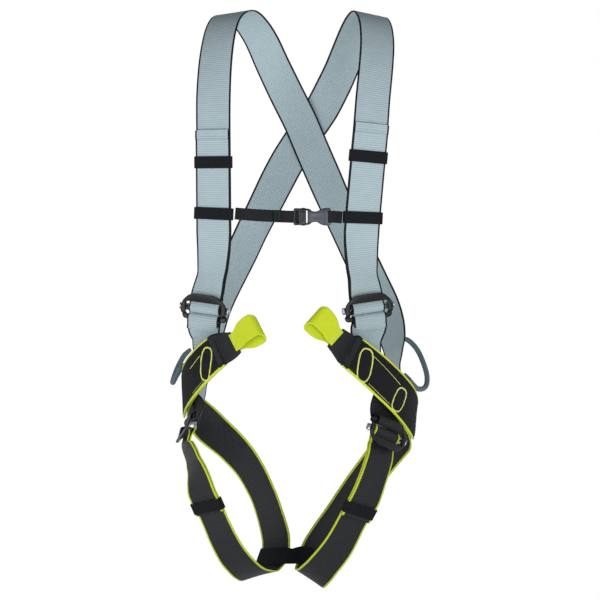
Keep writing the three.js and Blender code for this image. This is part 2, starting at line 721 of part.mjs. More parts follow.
const GEAR = {
  right: [
    [-141.5, -28, 288],
    [-148, -27, 285],
    [-155.5, -22, 274],
    [-161, -8, 264],
    [-161.5, 4, 266],
    [-156, 15, 282],
    [-148, 20, 297],
    [-140.5, 22, 305.5],
  ],
  left: [
    [128, 12, 319.5],
    [136, 13, 318],
    [147, 9, 308],
    [156, -2, 290],
    [161, -14, 270],
    [158, -26, 258],
    [149, -34, 256],
    [140, -39, 264.5],
    [132, -41, 275],
  ],
};
const tubeSection = new THREE.Shape(
  Array.from({ length: 8 }, (_, k) => (k * Math.PI) / 4)
    .map((a) => new THREE.Vector2(TUBE_R * Math.cos(a), TUBE_R * Math.sin(a))),
);
for (const side of ["right", "left"]) {
  const extrudePath = new THREE.CatmullRomCurve3(GEAR[side].map(V), false, "centripetal");
  const g = new THREE.ExtrudeGeometry(tubeSection, { steps: 34, extrudePath });
  add(`${side}_gear_loop`, g, "tube", 0.6);
}

// ---------------------------------------------------------------- crotch elastic

const CROTCH = [
  [-53.5, 24, 40, -16, 75, 65],
  [-38, 10.5, 42, -16, 75, 65],
  [-20, -3.5, 43.5, -8, 72, 66],
  [-8, -7, 43.5, 0, 70, 66],
  [2, -3, 44.5, 12, 72, 65],
  [11, 4.5, 43.5, 22, 75, 61],
  [19, 11.5, 41, 22, 75, 61],
];
add("crotch_elastic", ribbon(path(CROTCH, 8), ELASTIC.width, ELASTIC.thick), "black", 0.9);

export default harness;
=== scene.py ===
"""Full-body climbing harness: its looks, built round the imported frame. Metres, +Z up, -Y the front."""
import json
import math

import bpy
import numpy as np
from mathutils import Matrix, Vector
from mathutils.kdtree import KDTree


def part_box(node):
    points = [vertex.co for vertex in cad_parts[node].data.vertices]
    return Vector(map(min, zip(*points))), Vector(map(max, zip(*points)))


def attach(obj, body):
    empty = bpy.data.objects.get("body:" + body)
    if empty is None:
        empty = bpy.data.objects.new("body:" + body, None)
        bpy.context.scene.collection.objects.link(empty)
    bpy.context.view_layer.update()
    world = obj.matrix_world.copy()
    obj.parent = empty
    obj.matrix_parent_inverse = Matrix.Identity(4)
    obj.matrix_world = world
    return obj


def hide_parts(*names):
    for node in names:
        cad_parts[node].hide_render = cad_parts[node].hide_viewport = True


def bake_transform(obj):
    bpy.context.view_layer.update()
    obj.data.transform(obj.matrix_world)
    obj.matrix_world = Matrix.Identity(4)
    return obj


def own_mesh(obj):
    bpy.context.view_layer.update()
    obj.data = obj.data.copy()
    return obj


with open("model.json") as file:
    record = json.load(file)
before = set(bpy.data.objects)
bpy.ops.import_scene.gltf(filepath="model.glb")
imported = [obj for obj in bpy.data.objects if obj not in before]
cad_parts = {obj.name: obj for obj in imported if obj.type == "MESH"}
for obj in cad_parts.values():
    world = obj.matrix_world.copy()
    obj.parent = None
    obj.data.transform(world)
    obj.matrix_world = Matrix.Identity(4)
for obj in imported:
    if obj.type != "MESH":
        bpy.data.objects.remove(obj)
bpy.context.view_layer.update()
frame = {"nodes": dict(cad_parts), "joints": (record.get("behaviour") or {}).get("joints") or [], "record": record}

MM = 0.001
SIDES = ("right", "left")
BODY = {n: b for b, nodes in frame["record"]["behaviour"]["bodies"].items() for n in nodes}
JOINT = {j["name"]: j for j in frame["joints"]}

# Real sizes, in metres
THREAD = 0.32 * MM  # radius of a sewing thread
STITCH = 2.6 * MM  # length of one stitch and its gap
SATIN_THREAD, SATIN_PITCH = 0.42 * MM, 0.75 * MM  # radius of the threads in a close row, and their pitch
HEM = 12 * MM  # hem on a strap's tail
HEM_SEAM = 18 * MM  # half length of a row of stitches across a tail
BAND_WALL = 1.4 * MM  # thickness of an elastic or webbing band
TAPE_R = 1.75 * MM  # half width of the lime tape round a pad
FRAME_PLATE = 4.4 * MM  # strap buckle: the frame's thickness
FRAME_RAIL, FRAME_BAR = 6.2 * MM, 5.6 * MM  # widths of the frame's sides and of its lower bar
FRAME_WINDOW = 7.2 * MM  # height of the frame's window above the slide bar
SLIDE_BAR_R = 2.5 * MM
ROLL_SAG = 0.34  # how much further a webbing's roll reaches below its slide bar
TUCK = {"right": 4 * MM, "left": 0.0}  # by how much each shoulder strap's rear end is shortened
END_RISE = 3 * MM  # height of the left strap's end above the middle of the leg webbing
END_GAP = 7 * MM  # how far inside the leg webbing it lies
BEHIND = 0.06  # the straps' rear half lies further back than this

# Studio
FLOOR = -0.1  # height of the floor
FLOOR_R = 1.12
FLOOR_GLOW = 0.25  # light of the lit floor itself
SKY = (0.0, 0.75, 0.72, 0.12)  # light fades between these heights, from the third strength to the last

# Webbings, in millimetres: half width, width of the selvedge and pitch of the ribs.
WIDE, LEG = (22.5, 2.3, 2.7), (22.5, 2.6, 2.3)
NECK, NARROW, LOOP = (21, 1.4, 2.1), (7.5, 1.0, 1.3), (14.5, 1.2, 1.7)

# Corners of the sewn patch where the straps cross behind, in mm to the side and up from the crossing.
PATCH = ((-20, 5), (20, 1), (9, -21), (-11, -20))

# Sewn marks of the hip pads, in mm along the pad and across it: ovals as centre, half sizes and the
# direction of the longer one, and straight rows as their two ends.
OVALS = {
    "right": [((27.0, -4.5), (20.5, 9.5), (0.63, -0.78))],
    "left": [((27.7, 3.0), (20.5, 10.5), (0.36, 0.93)), ((103.7, 5.5), (15.0, 11.0), (0.15, 0.99))],
}
ROWS = {
    "right": [((31.8, 10.0), (60.0, 7.5)), ((40.0, -19.5), (75.0, -19.5))],
    "left": [((31.1, -13.5), (92.0, -9.5)), ((46.0, 18.5), (92.0, 19.5))],
}

# Tie-in loop: mm along the loop from its hinge, and out from its middle plane, up to the tip's turn.
LOOP_LINE = ((-5.5, 3.0), (-1.0, 3.3), (4.0, 3.6), (10.0, 4.9), (17.0, 6.0), (24.0, 6.5), (28.9, 6.4))
LOOP_TURN = 6.4
LOOP_HALF = (11.6, 14.6)  # half width at the neck and at the tip
LOOP_SKEW = 0.72  # how far the loop's back hangs below its front, per distance out

# Bent tab at each end of a slide bar: mm along the bar, out from it, and along the webbing.
TAB = ((26, -2.4, 0), (29, -2.4, -0.6), (32.2, -1.6, -0.6), (34.2, 0.8, 0), (34.6, 3.6, 0.2), (34, 6, 0.2))

# Side-release buckle: mm from the middle of its height, and x as in the frame.
PLUG_WAIST = (
    (9.4, 7.4), (11.0, 7.9), (13.2, 7.8), (15.0, 7.2), (17.5, 6.6), (20.0, 6.6), (22.6, 7.4),
    (25.4, 9.4), (29.0, 10.7), (32.0, 11.0), (35.5, 11.0), (37.6, 10.4), (38.4, 8.6),
)
PLUG_DEEP = ((9.4, 1.4), (11, 2.5), (14, 2.9), (29, 3.3), (33, 3.6), (36, 2.6), (38.4, 1.5))
PRONG = ((13.6, 6.6), (11.6, 8.3), (9.0, 8.9), (6.8, 8.9), (5.4, 9.4), (2.2, 9.4), (1.2, 8.6))
PRONG_WIDE = ((1.2, 0.5), (2.2, 1.0), (5.4, 1.1), (6.8, 0.85), (13.6, 0.8))


# ---- vectors


def vec(*xyz):
    return np.array(xyz, float)


def unit(v):
    return v / np.maximum(np.linalg.norm(v, axis=-1, keepdims=True), 1e-12)


def distances(points):
    """How far along a line each of its points lies."""
    return np.append(0, np.cumsum(np.linalg.norm(np.diff(points, axis=0), axis=1)))


def spaced(points, step):
    """The points of a line again, at even distances of about step."""
    points = np.asarray(points, float)
    run = distances(points)
    count = max(2, int(round(run[-1] / step)) + 1)
    want = np.linspace(0, run[-1], count)
    return np.stack([np.interp(want, run, points[:, k]) for k in range(points.shape[1])], 1)


def between(known, slope, i, t, span=1.0):
    """A smooth line through known values, at the share t of the way from value i to the next."""
    here = (2 * t**3 - 3 * t**2 + 1) * known[i] + (t**3 - 2 * t**2 + t) * span * slope[i]
    return here + (3 * t**2 - 2 * t**3) * known[i + 1] + (t**3 - t**2) * span * slope[i + 1]


# ---- reading the frame


def welded(node):
    """Corner points of a CAD node, and its triangles as numbers of those points."""
    mesh = frame["nodes"][node].data
    number, points, order = {}, [], []
    for v in mesh.vertices:
        key = tuple(v.co)
        if key not in number:
            number[key] = len(points)
            points.append(key)
        order.append(number[key])
    faces = [tuple(order[i] for i in p.vertices) for p in mesh.polygons]
    return np.array(points), faces


def neighbours(points, faces):
    """For each corner point, the points that share an edge with it."""
    joined = [set() for _ in points]
    for a, b, c in faces:
        joined[a].update((b, c))
        joined[b].update((a, c))
        joined[c].update((a, b))
    return joined


def levels(first, joined):
    """Points in order of their distance from the first ones, counted in edges."""
    seen, found = set(first), [list(first)]
    while True:
        ring = {b for a in found[-1] for b in joined[a]} - seen
        if not ring:
            return found
        seen |= ring
        found.append(sorted(ring))


def rings(node, towards):
    """The four-cornered sections of a CAD ribbon, in order, from the end that lies furthest towards."""
    points, faces = welded(node)
    joined = neighbours(points, faces)
    beside = {}
    for a, b, c in faces:
        for one, two, other in ((a, b, c), (b, c, a), (c, a, b)):
            beside.setdefault(frozenset((one, two)), []).append(other)
    caps = {frozenset((*edge, *ends)) for edge, ends in beside.items() if len(ends) == 2}
    caps = sorted((c for c in caps if len(c) == 4), key=lambda c: (sum(len(joined[i]) for i in c), sorted(c)))
    for cap in caps:
        found = levels(sorted(cap), joined)
        if len(found) * 4 == len(points) and all(len(r) == 4 for r in found):
            made = points[np.array(found)]
            ends = made[[0, -1]].mean(1) @ np.asarray(towards, float)
            return made if ends[0] >= ends[1] else made[::-1]
    raise ValueError(f"{node} is not a ribbon of four-cornered sections")


def sections(node, towards):
    """Centre, across (w), out (n), half width and half thickness of a ribbon's sections."""
    made = rings(node, towards)
    centre = made.mean(1)
    travel = unit(np.gradient(centre, axis=0))
    across, out, wide, thick = [], [], [], []
    for i, ring in enumerate(made):
        mate = 1 + int(np.argmin(np.linalg.norm(ring[1:] - ring[0], axis=1)))
        rest = [k for k in (1, 2, 3) if k != mate]
        w = (ring[rest].mean(0) - (ring[0] + ring[mate]) / 2) / 2
        n = np.cross(w, travel[i])
        if i == 0:
            if n @ (centre[0] * vec(1, 1, 0)) < 0:
                w, n = -w, -n
        elif w @ across[-1] < 0:
            w, n = -w, -n
        across.append(unit(w))
        out.append(unit(n))
        wide.append(np.linalg.norm(w))
        thick.append(np.linalg.norm(ring[0] - ring[mate]) / 2)
    return centre, np.array(across), np.array(out), np.array(wide), np.array(thick)


class Strip:
    """A webbing's middle line, smooth through the CAD ribbon's sections."""

    def __init__(self, centre, across, out, wide, thick, step=2.2 * MM):
        self.s_known = distances(centre)
        self.known = np.concatenate([centre, across, out, wide[:, None], thick[:, None]], 1)
        count = np.maximum(1, np.ceil(np.diff(self.s_known) / step)).astype(int)
        s = [a + (b - a) * np.arange(n) / n for a, b, n in zip(self.s_known, self.s_known[1:], count)]
        self.s = np.concatenate([*s, [self.s_known[-1]]])
        self.length = self.s[-1]
        self.rows = self.sample(self.s)

    def sample(self, s):
        """Columns centre, across, out, half width and half thickness at the distances s."""
        s = np.clip(np.atleast_1d(np.asarray(s, float)), 0, self.s_known[-1])
        slope = np.gradient(self.known, self.s_known, axis=0)
        i = np.clip(np.searchsorted(self.s_known, s, side="right") - 1, 0, len(self.s_known) - 2)
        span = (self.s_known[i + 1] - self.s_known[i])[:, None]
        t = (s - self.s_known[i])[:, None] / span
        rows = between(self.known, slope, i, t, span)
        rows[:, 3:6] = unit(rows[:, 3:6])
        rows[:, 6:9] = unit(rows[:, 6:9])
        return rows

    def at(self, s, x=0.0, h=0.0):
        """Points at the distances s along, x across and h out of the middle line."""
        rows = self.sample(s)
        x, h = np.broadcast_to(x, len(rows)), np.broadcast_to(h, len(rows))
        return rows[:, :3] + rows[:, 3:6] * x[:, None] + rows[:, 6:9] * h[:, None]

    def out(self, s):
        return self.sample(s)[:, 6:9]


def strip(node, towards=(0, 0, 1), step=2.2 * MM):
    return Strip(*sections(node, towards), step=step)


def axes(node):
    """Centre, three square axes and half sizes of a boxy CAD node; the first axis faces its largest sides."""
    points, faces = welded(node)
    normals = np.array([np.cross(points[b] - points[a], points[c] - points[a]) for a, b, c in faces])
    area = np.linalg.norm(normals, axis=1)
    normals = unit(normals)
    found = []
    for _ in range(2):
        free = [max((abs(n @ f) for f in found), default=0) < 0.02 for n in normals]
        score = [area[np.abs(normals @ n) > 0.9995].sum() if ok else 0 for n, ok in zip(normals, free)]
        found.append(normals[int(np.argmax(score))])
    found.append(np.cross(*found))
    low, high = ((points @ np.array(found).T).min(0), (points @ np.array(found).T).max(0))
    centre = ((low + high) / 2) @ np.array(found)
    return centre, found, (high - low) / 2


def facing(v, towards):
    return v if v @ np.asarray(towards, float) >= 0 else -v


# ---- materials


def linear(r, g, b):
    """A colour named in 0-255 display values, as the shader wants it."""
    shares = np.array((r, g, b)) / 255
    return tuple(float(c / 12.92 if c < 0.04045 else ((c + 0.055) / 1.055) ** 2.4) for c in shares)


class Nodes:
    """Short spellings for building a material's node tree."""

    def __init__(self, name):
        self.material = bpy.data.materials.new(name)
        self.material.use_nodes = True
        self.tree = self.material.node_tree
        self.shader = self.tree.nodes["Principled BSDF"]

    def new(self, kind, **settings):
        node = self.tree.nodes.new(kind)
        for key, value in settings.items():
            setattr(node, key, value)
        return node

    def link(self, source, target):
        if isinstance(source, (int, float, tuple)):
            target.default_value = source
        else:
            self.tree.links.new(source, target)

    def math(self, operation, a, b=0.0, c=0.0):
        node = self.new("ShaderNodeMath", operation=operation)
        for socket, value in zip(node.inputs, (a, b, c)):
            self.link(value, socket)
        return node.outputs[0]

    def plus(self, a, b):
        return self.math("ADD", a, b)

    def times(self, a, b):
        return self.math("MULTIPLY", a, b)

    def scaled(self, a, b, c):
        """a times b, plus c."""
        return self.math("MULTIPLY_ADD", a, b, c)

    def mix(self, factor, a, b):
        node = self.new("ShaderNodeMix", data_type="RGBA")
        for socket, value in zip((node.inputs[0], node.inputs[6], node.inputs[7]), (factor, a, b)):
            self.link((*value, 1.0) if isinstance(value, tuple) and len(value) == 3 else value, socket)
        return node.outputs[2]

    def wave(self, phase, pitch):
        """A ridge of height 0 to 1 in every pitch of phase."""
        turn = self.math("SINE", self.times(phase, 2 * math.pi / pitch))
        return self.scaled(turn, 0.5, 0.5)

    def smooth(self, value, low, high):
        node = self.new("ShaderNodeMapRange", interpolation_type="SMOOTHSTEP")
        self.link(value, node.inputs[0])
        node.inputs[1].default_value = low
        node.inputs[2].default_value = high
        return node.outputs[0]

    def noise(self, vector, scale, detail=3.0):
        node = self.new("ShaderNodeTexNoise")
        self.link(vector, node.inputs["Vector"])
        node.inputs["Scale"].default_value = scale
        node.inputs["Detail"].default_value = detail
        return node.outputs[0]

    def bump(self, height, depth):
        node = self.new("ShaderNodeBump")
        node.inputs["Distance"].default_value = depth
        self.link(height, node.inputs["Height"])
        self.tree.links.new(node.outputs[0], self.shader.inputs["Normal"])

    def across_along(self):
        """Distances across and along the webbing, in millimetres."""
        uv = self.new("ShaderNodeUVMap", uv_map="weave")
        split = self.new("ShaderNodeSeparateXYZ")
        self.tree.links.new(uv.outputs[0], split.inputs[0])
        return split.outputs[0], split.outputs[1], uv.outputs[0]

    def place(self):
        return self.new("ShaderNodeTexCoord").outputs["Object"]

    def finish(self, colour, rough, metal=0.0, sheen=0.0, specular=0.5):
        inputs = self.shader.inputs
        self.link((*colour, 1.0) if isinstance(colour, tuple) else colour, inputs["Base Color"])
        self.link(rough, inputs["Roughness"])
        inputs["Metallic"].default_value = metal
        inputs["Sheen Weight"].default_value = sheen
        inputs["Sheen Roughness"].default_value = 0.4
        inputs["Specular IOR Level"].default_value = specular
        return self.material


def woven(name, sizes, body, valley_shade, edge, depth, slant=0.0, rough=0.7, sheen=0.02, specular=0.25, ribs=1.0):
    """Webbing: ribs at a slant, threads across them, and selvedges along both edges. Depth is in mm."""
    m = Nodes(name)
    half, edge_width, pitch = sizes
    x, y, uv = m.across_along()
    phase = m.scaled(x, slant, y)
    rib = m.wave(phase, pitch)
    fine = m.wave(m.scaled(x, 1.0, m.times(y, 0.22)), 0.95)
    beads = m.wave(y, 1.55)
    worn = m.noise(uv, 0.09, 4.0)
    speck = m.noise(uv, 1.7, 2.0)
    off_edge = m.math("SUBTRACT", half, m.math("ABSOLUTE", x))
    is_body = m.smooth(off_edge, edge_width - 0.22, edge_width + 0.22)
    # Colour darkens in the hollows between the ribs and the cross threads: painted shade. The worn and speck noise
    # add the cloth's own random tone.
    tone = m.scaled(rib, ribs, m.scaled(worn, 0.5, -0.25))
    tone = m.plus(tone, m.scaled(fine, 0.16, -0.08))
    cloth = m.mix(m.plus(tone, m.scaled(speck, 0.5, -0.25)), valley_shade, body)
    # The selvedge is darker between its beads: painted shade.
    dark_edge = tuple(c * 0.55 for c in edge)
    border = m.mix(m.scaled(beads, 0.7, m.times(speck, 0.5)), dark_edge, edge)
    height = m.scaled(fine, 0.22, rib)
    height = m.times(height, is_body)
    off_body = m.math("SUBTRACT", 1.0, is_body)
    edge_height = m.times(off_body, m.scaled(beads, 0.7, 0.4))
    height = m.plus(height, edge_height)
    m.bump(m.plus(height, m.times(speck, 0.12)), depth * MM)
    return m.finish(m.mix(is_body, border, cloth), rough, sheen=sheen, specular=specular)


def knitted(name, body, valley_shade):
    """Elastic: narrow ribs along it and a fine stitch across them."""
    m = Nodes(name)
    x, y, uv = m.across_along()
    rib = m.wave(x, 1.5)
    knit = m.wave(y, 0.8)
    speck = m.noise(uv, 1.4, 3.0)
    # Colour darkens in the hollows between the ribs: painted shade; the speck noise adds random tone.
    tone = m.scaled(rib, 0.5, m.times(speck, 0.5))
    m.bump(m.scaled(knit, 0.4, rib), 0.16 * MM)
    return m.finish(m.mix(tone, valley_shade, body), 0.85, sheen=0.02, specular=0.2)


def mesh_cloth(name, body, valley_shade):
    """Pad cover: a close textile with soft puckers."""
    m = Nodes(name)
    x, y, uv = m.across_along()
    a = m.wave(m.plus(x, y), 1.25)
    b = m.wave(m.math("SUBTRACT", x, y), 1.25)
    weave = m.times(a, b)
    puckers = m.noise(uv, 0.11, 3.0)
    # Colour darkens in the hollows of the weave and of the puckers: painted shade.
    tone = m.scaled(weave, 0.6, m.times(puckers, 0.5))
    m.bump(m.scaled(puckers, 3.0, weave), 0.2 * MM)
    return m.finish(m.mix(tone, valley_shade, body), 0.75, sheen=0.03, specular=0.25)


def sewn(name, colour):
    """Sewing thread, tape and binding: twisted fine fibres."""
    m = Nodes(name)
    fibres = m.noise(m.place(), 1400, 3.0)
    colour = m.mix(fibres, tuple(c * 0.72 for c in colour), tuple(min(1, c * 1.15) for c in colour))
    m.bump(fibres, 0.12 * MM)
    return m.finish(colour, 0.6, sheen=0.2, specular=0.35)


def coated(name, colour, chipped):
    """Painted steel, with fine orange peel and worn corners."""
    m = Nodes(name)
    geometry = m.new("ShaderNodeNewGeometry")
    peel = m.noise(m.place(), 900, 2.0)
    cloud = m.noise(m.place(), 90, 4.0)
    worn = m.smooth(m.scaled(cloud, 0.05, geometry.outputs["Pointiness"]), 0.56, 0.62)
    m.bump(peel, 0.03 * MM)
    rough = m.scaled(cloud, 0.25, 0.26)
    return m.finish(m.mix(worn, colour, chipped), rough, metal=0.35, specular=0.5)


def bare_steel(name):
    m = Nodes(name)
    brushed = m.noise(m.place(), 700, 2.0)
    m.bump(brushed, 0.015 * MM)
    tone = m.mix(brushed, linear(170, 172, 176), linear(214, 216, 220))
    return m.finish(tone, m.scaled(brushed, 0.15, 0.16), metal=1.0)


def moulded(name, colour):
    """Acetal plastic with a fine spark-eroded grain."""
    m = Nodes(name)
    grain = m.noise(m.place(), 2600, 3.0)
    cloud = m.noise(m.place(), 120, 3.0)
    m.bump(grain, 0.04 * MM)
    tone = m.mix(cloud, tuple(c * 0.8 for c in colour), tuple(c * 1.3 for c in colour))
    return m.finish(tone, m.scaled(cloud, 0.16, 0.34), specular=0.5)


def sleeve(name, colour, winding_shade):
    """Gear loop: a woven sleeve whose threads wind round the core."""
    m = Nodes(name)
    x, y, uv = m.across_along()
    wind = m.wave(m.scaled(x, 0.6, y), 2.1)
    counter = m.wave(m.scaled(x, -0.6, y), 2.1)
    speck = m.noise(uv, 1.2, 3.0)
    weave = m.math("MAXIMUM", wind, m.times(counter, 0.8))
    m.bump(weave, 0.3 * MM)
    # Colour darkens between the wound threads: painted shade; the speck noise adds random tone.
    tone = m.scaled(weave, 0.6, m.times(speck, 0.4))
    return m.finish(m.mix(tone, winding_shade, colour), 0.62, sheen=0.15, specular=0.4)


# The darker colour of each pair below, and the second colour given to each webbing, elastic, pad cover and sleeve,
# is the painted shade in the hollows of its weave.
GREY, GREY_HOLLOW_SHADE = linear(184, 202, 208), linear(158, 177, 184)
INK, INK_HOLLOW_SHADE = linear(36, 40, 45), linear(13, 14, 16)
LIME, LIME_HOLLOW_SHADE = linear(224, 238, 52), linear(196, 212, 34)
WEB_GREY = woven("grey webbing", WIDE, GREY, GREY_HOLLOW_SHADE, linear(19, 21, 24), 0.16, sheen=0.05)
WEB_BLACK = woven("black webbing", LEG, INK, INK_HOLLOW_SHADE, LIME, 0.3, slant=0.16, rough=0.5, specular=0.4)
WEB_NECK = woven(
    "neck webbing", NECK, linear(48, 51, 55), linear(16, 17, 19), linear(26, 28, 31), 0.35,
    slant=0.85, rough=0.6, specular=0.3,
)
WEB_NARROW = woven(
    "narrow webbing", NARROW, linear(27, 30, 35), linear(15, 17, 20), linear(17, 19, 22), 0.15,
)
WEB_LIME = woven("lime webbing", LOOP, LIME, LIME_HOLLOW_SHADE, LIME, 0.16, slant=0.1, sheen=0.05, ribs=0.7)
ANCHOR = woven(
    "anchor webbing", LEG, INK, INK_HOLLOW_SHADE, linear(22, 24, 27), 0.3,
    slant=0.16, rough=0.55, specular=0.35,
)
ELASTIC = knitted("black elastic", linear(28, 31, 36), linear(15, 17, 20))
PAD_CLOTH = mesh_cloth("pad cover", linear(30, 32, 36), linear(12, 13, 15))
BINDING = sewn("lime binding", linear(222, 236, 56))
LIME_THREAD = sewn("lime thread", linear(238, 246, 130))
GREY_THREAD = sewn("grey thread", linear(150, 160, 165))
BLACK_THREAD = sewn("black thread", linear(46, 48, 52))
STEEL = coated("coated steel", linear(26, 26, 28), linear(96, 98, 102))
CHROME = bare_steel("bare steel")
PLASTIC = moulded("black acetal", linear(28, 30, 34))
# The plug's acetal is the black one lightened to grey: painted highlight.
PLASTIC_HIGHLIT = moulded("acetal with painted highlight", linear(74, 81, 88))
SLEEVE = sleeve("gear loop sleeve", linear(112, 129, 138), linear(66, 82, 90))


# ---- meshes


class Mesh:
    """Grids of points gathered into one mesh."""

    def __init__(self, name):
        self.name, self.points, self.faces, self.uvs, self.slots, self.count = name, [], [], [], [], 0

    def grid(self, points, uv, ring=False, closed=False, slot=0):
        """Quads over rows x columns of points; ring joins each row's last point to its first, and closed
        joins the last row to the first."""
        rows, columns = points.shape[:2]
        base = self.count
        self.points.append(points.reshape(-1, 3))
        self.count += rows * columns
        number = base + np.arange(rows * columns).reshape(rows, columns)
        if ring:
            number = np.concatenate([number, number[:, :1]], 1)
            uv = np.concatenate([uv, uv[:, :1]], 1) if uv.shape[1] == columns else uv
        if closed:
            number = np.concatenate([number, number[:1]])
        corners = (number[:-1, :-1], number[1:, :-1], number[1:, 1:], number[:-1, 1:])
        spots = (uv[:-1, :-1], uv[1:, :-1], uv[1:, 1:], uv[:-1, 1:])
        self.quads(np.stack(corners, -1), np.stack(spots, 2), slot)
        return number

    def quads(self, faces, uv, slot=0):
        self.faces.append(faces.reshape(-1, 4))
        self.uvs.append(uv.reshape(-1, 2))
        self.slots.append(np.full(len(self.faces[-1]), slot))

    def make(self, *materials):
        mesh = bpy.data.meshes.new(self.name)
        faces = np.concatenate(self.faces)
        mesh.from_pydata(np.concatenate(self.points).tolist(), [], faces.tolist())
        layer = mesh.uv_layers.new(name="weave")
        layer.data.foreach_set("uv", np.concatenate(self.uvs).astype(np.float32).ravel())
        mesh.polygons.foreach_set("material_index", np.concatenate(self.slots).astype(np.int32))
        mesh.polygons.foreach_set("use_smooth", np.ones(len(faces), bool))
        for m in materials:
            mesh.materials.append(m)
        mesh.validate()
        p = np.concatenate(self.points)[faces]
        volume = (np.cross(p[:, 1], p[:, 2]) + np.cross(p[:, 2], p[:, 3])) * p[:, 0]
        if volume.sum() < 0:
            mesh.flip_normals()
        obj = bpy.data.objects.new(self.name, mesh)
        bpy.context.scene.collection.objects.link(obj)
        return obj


# Half of a webbing's section: distance in from its edge in mm, and the share of its thickness there.
WEB_SECTION = ((0, 0), (0.12, 0.5), (0.45, 0.85), (1.1, 1.0), (1.8, 0.9), (2.3, 0.72), (2.8, 0.88), (4, 0.97))
PLAIN_SECTION = ((0, 0), (0.12, 0.5), (0.4, 0.8), (0.9, 0.96), (1.6, 1.0))
PAD_SECTION = ((0, 0), (0.3, 0.3), (1.2, 0.5), (2.6, 0.62), (4, 0.74), (7, 0.9), (11, 0.97))


def section(shape, half, middle=6):
    """Points (x, share of thickness) round a webbing section of that half width, edge to edge and back."""
    edge = [(half - d * MM, share) for d, share in shape]
    inner = edge[-1][0]
    centre = [(inner * (1 - 2 * k / middle), 1.0) for k in range(1, middle)]
    front = [(-x, t) for x, t in edge + centre]
    front += [(x, t) for x, t in reversed(edge)]
    back = [(x, -t) for x, t in reversed(front[1:-1])]
    return np.array(front + back), len(front)


def cloth(mesh, line, s=None, shape=WEB_SECTION, lift=0.0, thick=None, ripple=None, middle=6):
    """A closed webbing along a strip, at the distances in s. lift raises it off the strip.

    ripple(s, x) thickens it: a share of the thickness at each distance along and across."""
    s = line.s if s is None else s
    rows = line.sample(s)
    half = rows[:, 9].max()
    round_it, front = section(shape, half, middle)
    deep = rows[:, 10:11] if thick is None else np.full((len(s), 1), thick / 2)
    x = rows[:, 9:10] / half * round_it[:, 0]
    if ripple is not None:
        deep = deep * (1 + ripple(s[:, None], x))
    h = deep * round_it[:, 1] + np.broadcast_to(np.reshape(lift, (-1, 1)), (len(s), 1))
    points = rows[:, None, :3] + rows[:, None, 3:6] * x[..., None] + rows[:, None, 6:9] * h[..., None]
    uv = np.stack([x, np.broadcast_to(s[:, None], x.shape)], -1) / MM
    number = mesh.grid(points, uv, ring=True)[:, :-1]
    total = len(round_it)
    for row in (0, -1):
        for k in range(front - 1):
            far, near = (total - k) % total, (total - k - 1) % total
            corners = (k, k + 1, near, far) if row else (far, near, k + 1, k)
            corners = list(dict.fromkeys(corners))
            corners += corners[: 4 - len(corners)]  # a triangle repeats its first corner
            mesh.quads(number[row][corners], uv[row][corners])


def sheet(x, y):
    """Weave coordinates in millimetres for columns at x and rows at y."""
    return np.stack(np.broadcast_arrays(x[None], y[:, None]), -1) / MM


def line_frames(points, up):
    """Tangent and two square directions at each point of a line; up is near the first of them."""
    travel = unit(np.gradient(points, axis=0))
    side = unit(np.cross(travel, up))
    return travel, side, np.cross(side, travel)


def tube(mesh, points, radius, up, sides=8, flat=1.0, slot=0, taper=None):
    """A closed round bar along points. flat squeezes it along up, and taper scales each point's radius."""
    points = np.asarray(points, float)
    _, side, top = line_frames(points, np.broadcast_to(up, points.shape))
    run = distances(points)
    scale = np.ones(len(points)) if taper is None else np.asarray(taper)
    a = np.arange(sides) * 2 * math.pi / sides
    squeeze = np.broadcast_to(flat, len(points))[:, None, None]
    ring = side[:, None] * np.cos(a)[:, None] + top[:, None] * np.sin(a)[:, None] * squeeze
    body = points[:, None] + ring * (radius * scale)[:, None, None]
    ends = [np.repeat(points[[k], None], sides, 1) for k in (0, -1)]
    body = np.concatenate([ends[0], body, ends[1]])
    run = np.concatenate([[0], run, run[-1:]])
    round_it = np.arange(sides + 1) / sides * 2 * math.pi * radius
    mesh.grid(body, sheet(round_it, run), ring=True, slot=slot)


def stitches(mesh, points, out, pitch=STITCH, share=0.72, radius=THREAD, slot=0):
    """A row of sewn stitches along points, each a short thread that dips at both ends."""
    points, out = np.asarray(points, float), np.asarray(out, float)
    both = spaced(np.concatenate([points, out], 1), pitch / 6)
    count = max(1, (len(both) - 1) // 6)
    for k in range(count):
        part = both[6 * k : 6 * k + 7]
        length = 1 + int(round(6 * share))
        line, up = part[:length, :3], unit(part[:length, 3:])
        dip = np.sin(np.linspace(0, math.pi, length))[:, None]
        line = line + up * (dip * 1.1 - 0.25) * radius
        tube(mesh, line, radius, up, sides=6, slot=slot, taper=0.55 + 0.45 * dip[:, 0])


def satin(mesh, points, out, width, slot=0):
    """A close row of threads across a line, as round a bar tack or a sewn eyelet."""
    radius = SATIN_THREAD
    both = spaced(np.concatenate([points, out], 1), SATIN_PITCH)
    travel = unit(np.gradient(both[:, :3], axis=0))
    for row, t in zip(both, travel):
        up = unit(row[3:])
        side = unit(np.cross(t, up))
        a = np.linspace(-1, 1, 7)
        lift = (1 - a**2) * radius * 1.4 - radius * 0.3
        line = row[:3] + side * (a * width / 2)[:, None] + up * lift[:, None]
        tube(mesh, line, radius, up, sides=6, slot=slot, taper=np.sqrt(1 - (a * 0.9) ** 2))


def on_strip(line, s, x, lift):
    """Points and outward directions on a strip's face, for sewing."""
    s, x = np.broadcast_arrays(np.asarray(s, float), np.asarray(x, float))
    return line.at(s, x, lift), line.out(s)


def ready(obj, node, replaces=True):
    """The piece moves with the node's body, and stands in place of the node when replaces is set."""
    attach(obj, BODY[node])
    if replaces:
        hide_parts(node)
    return obj


# ---- camera and light


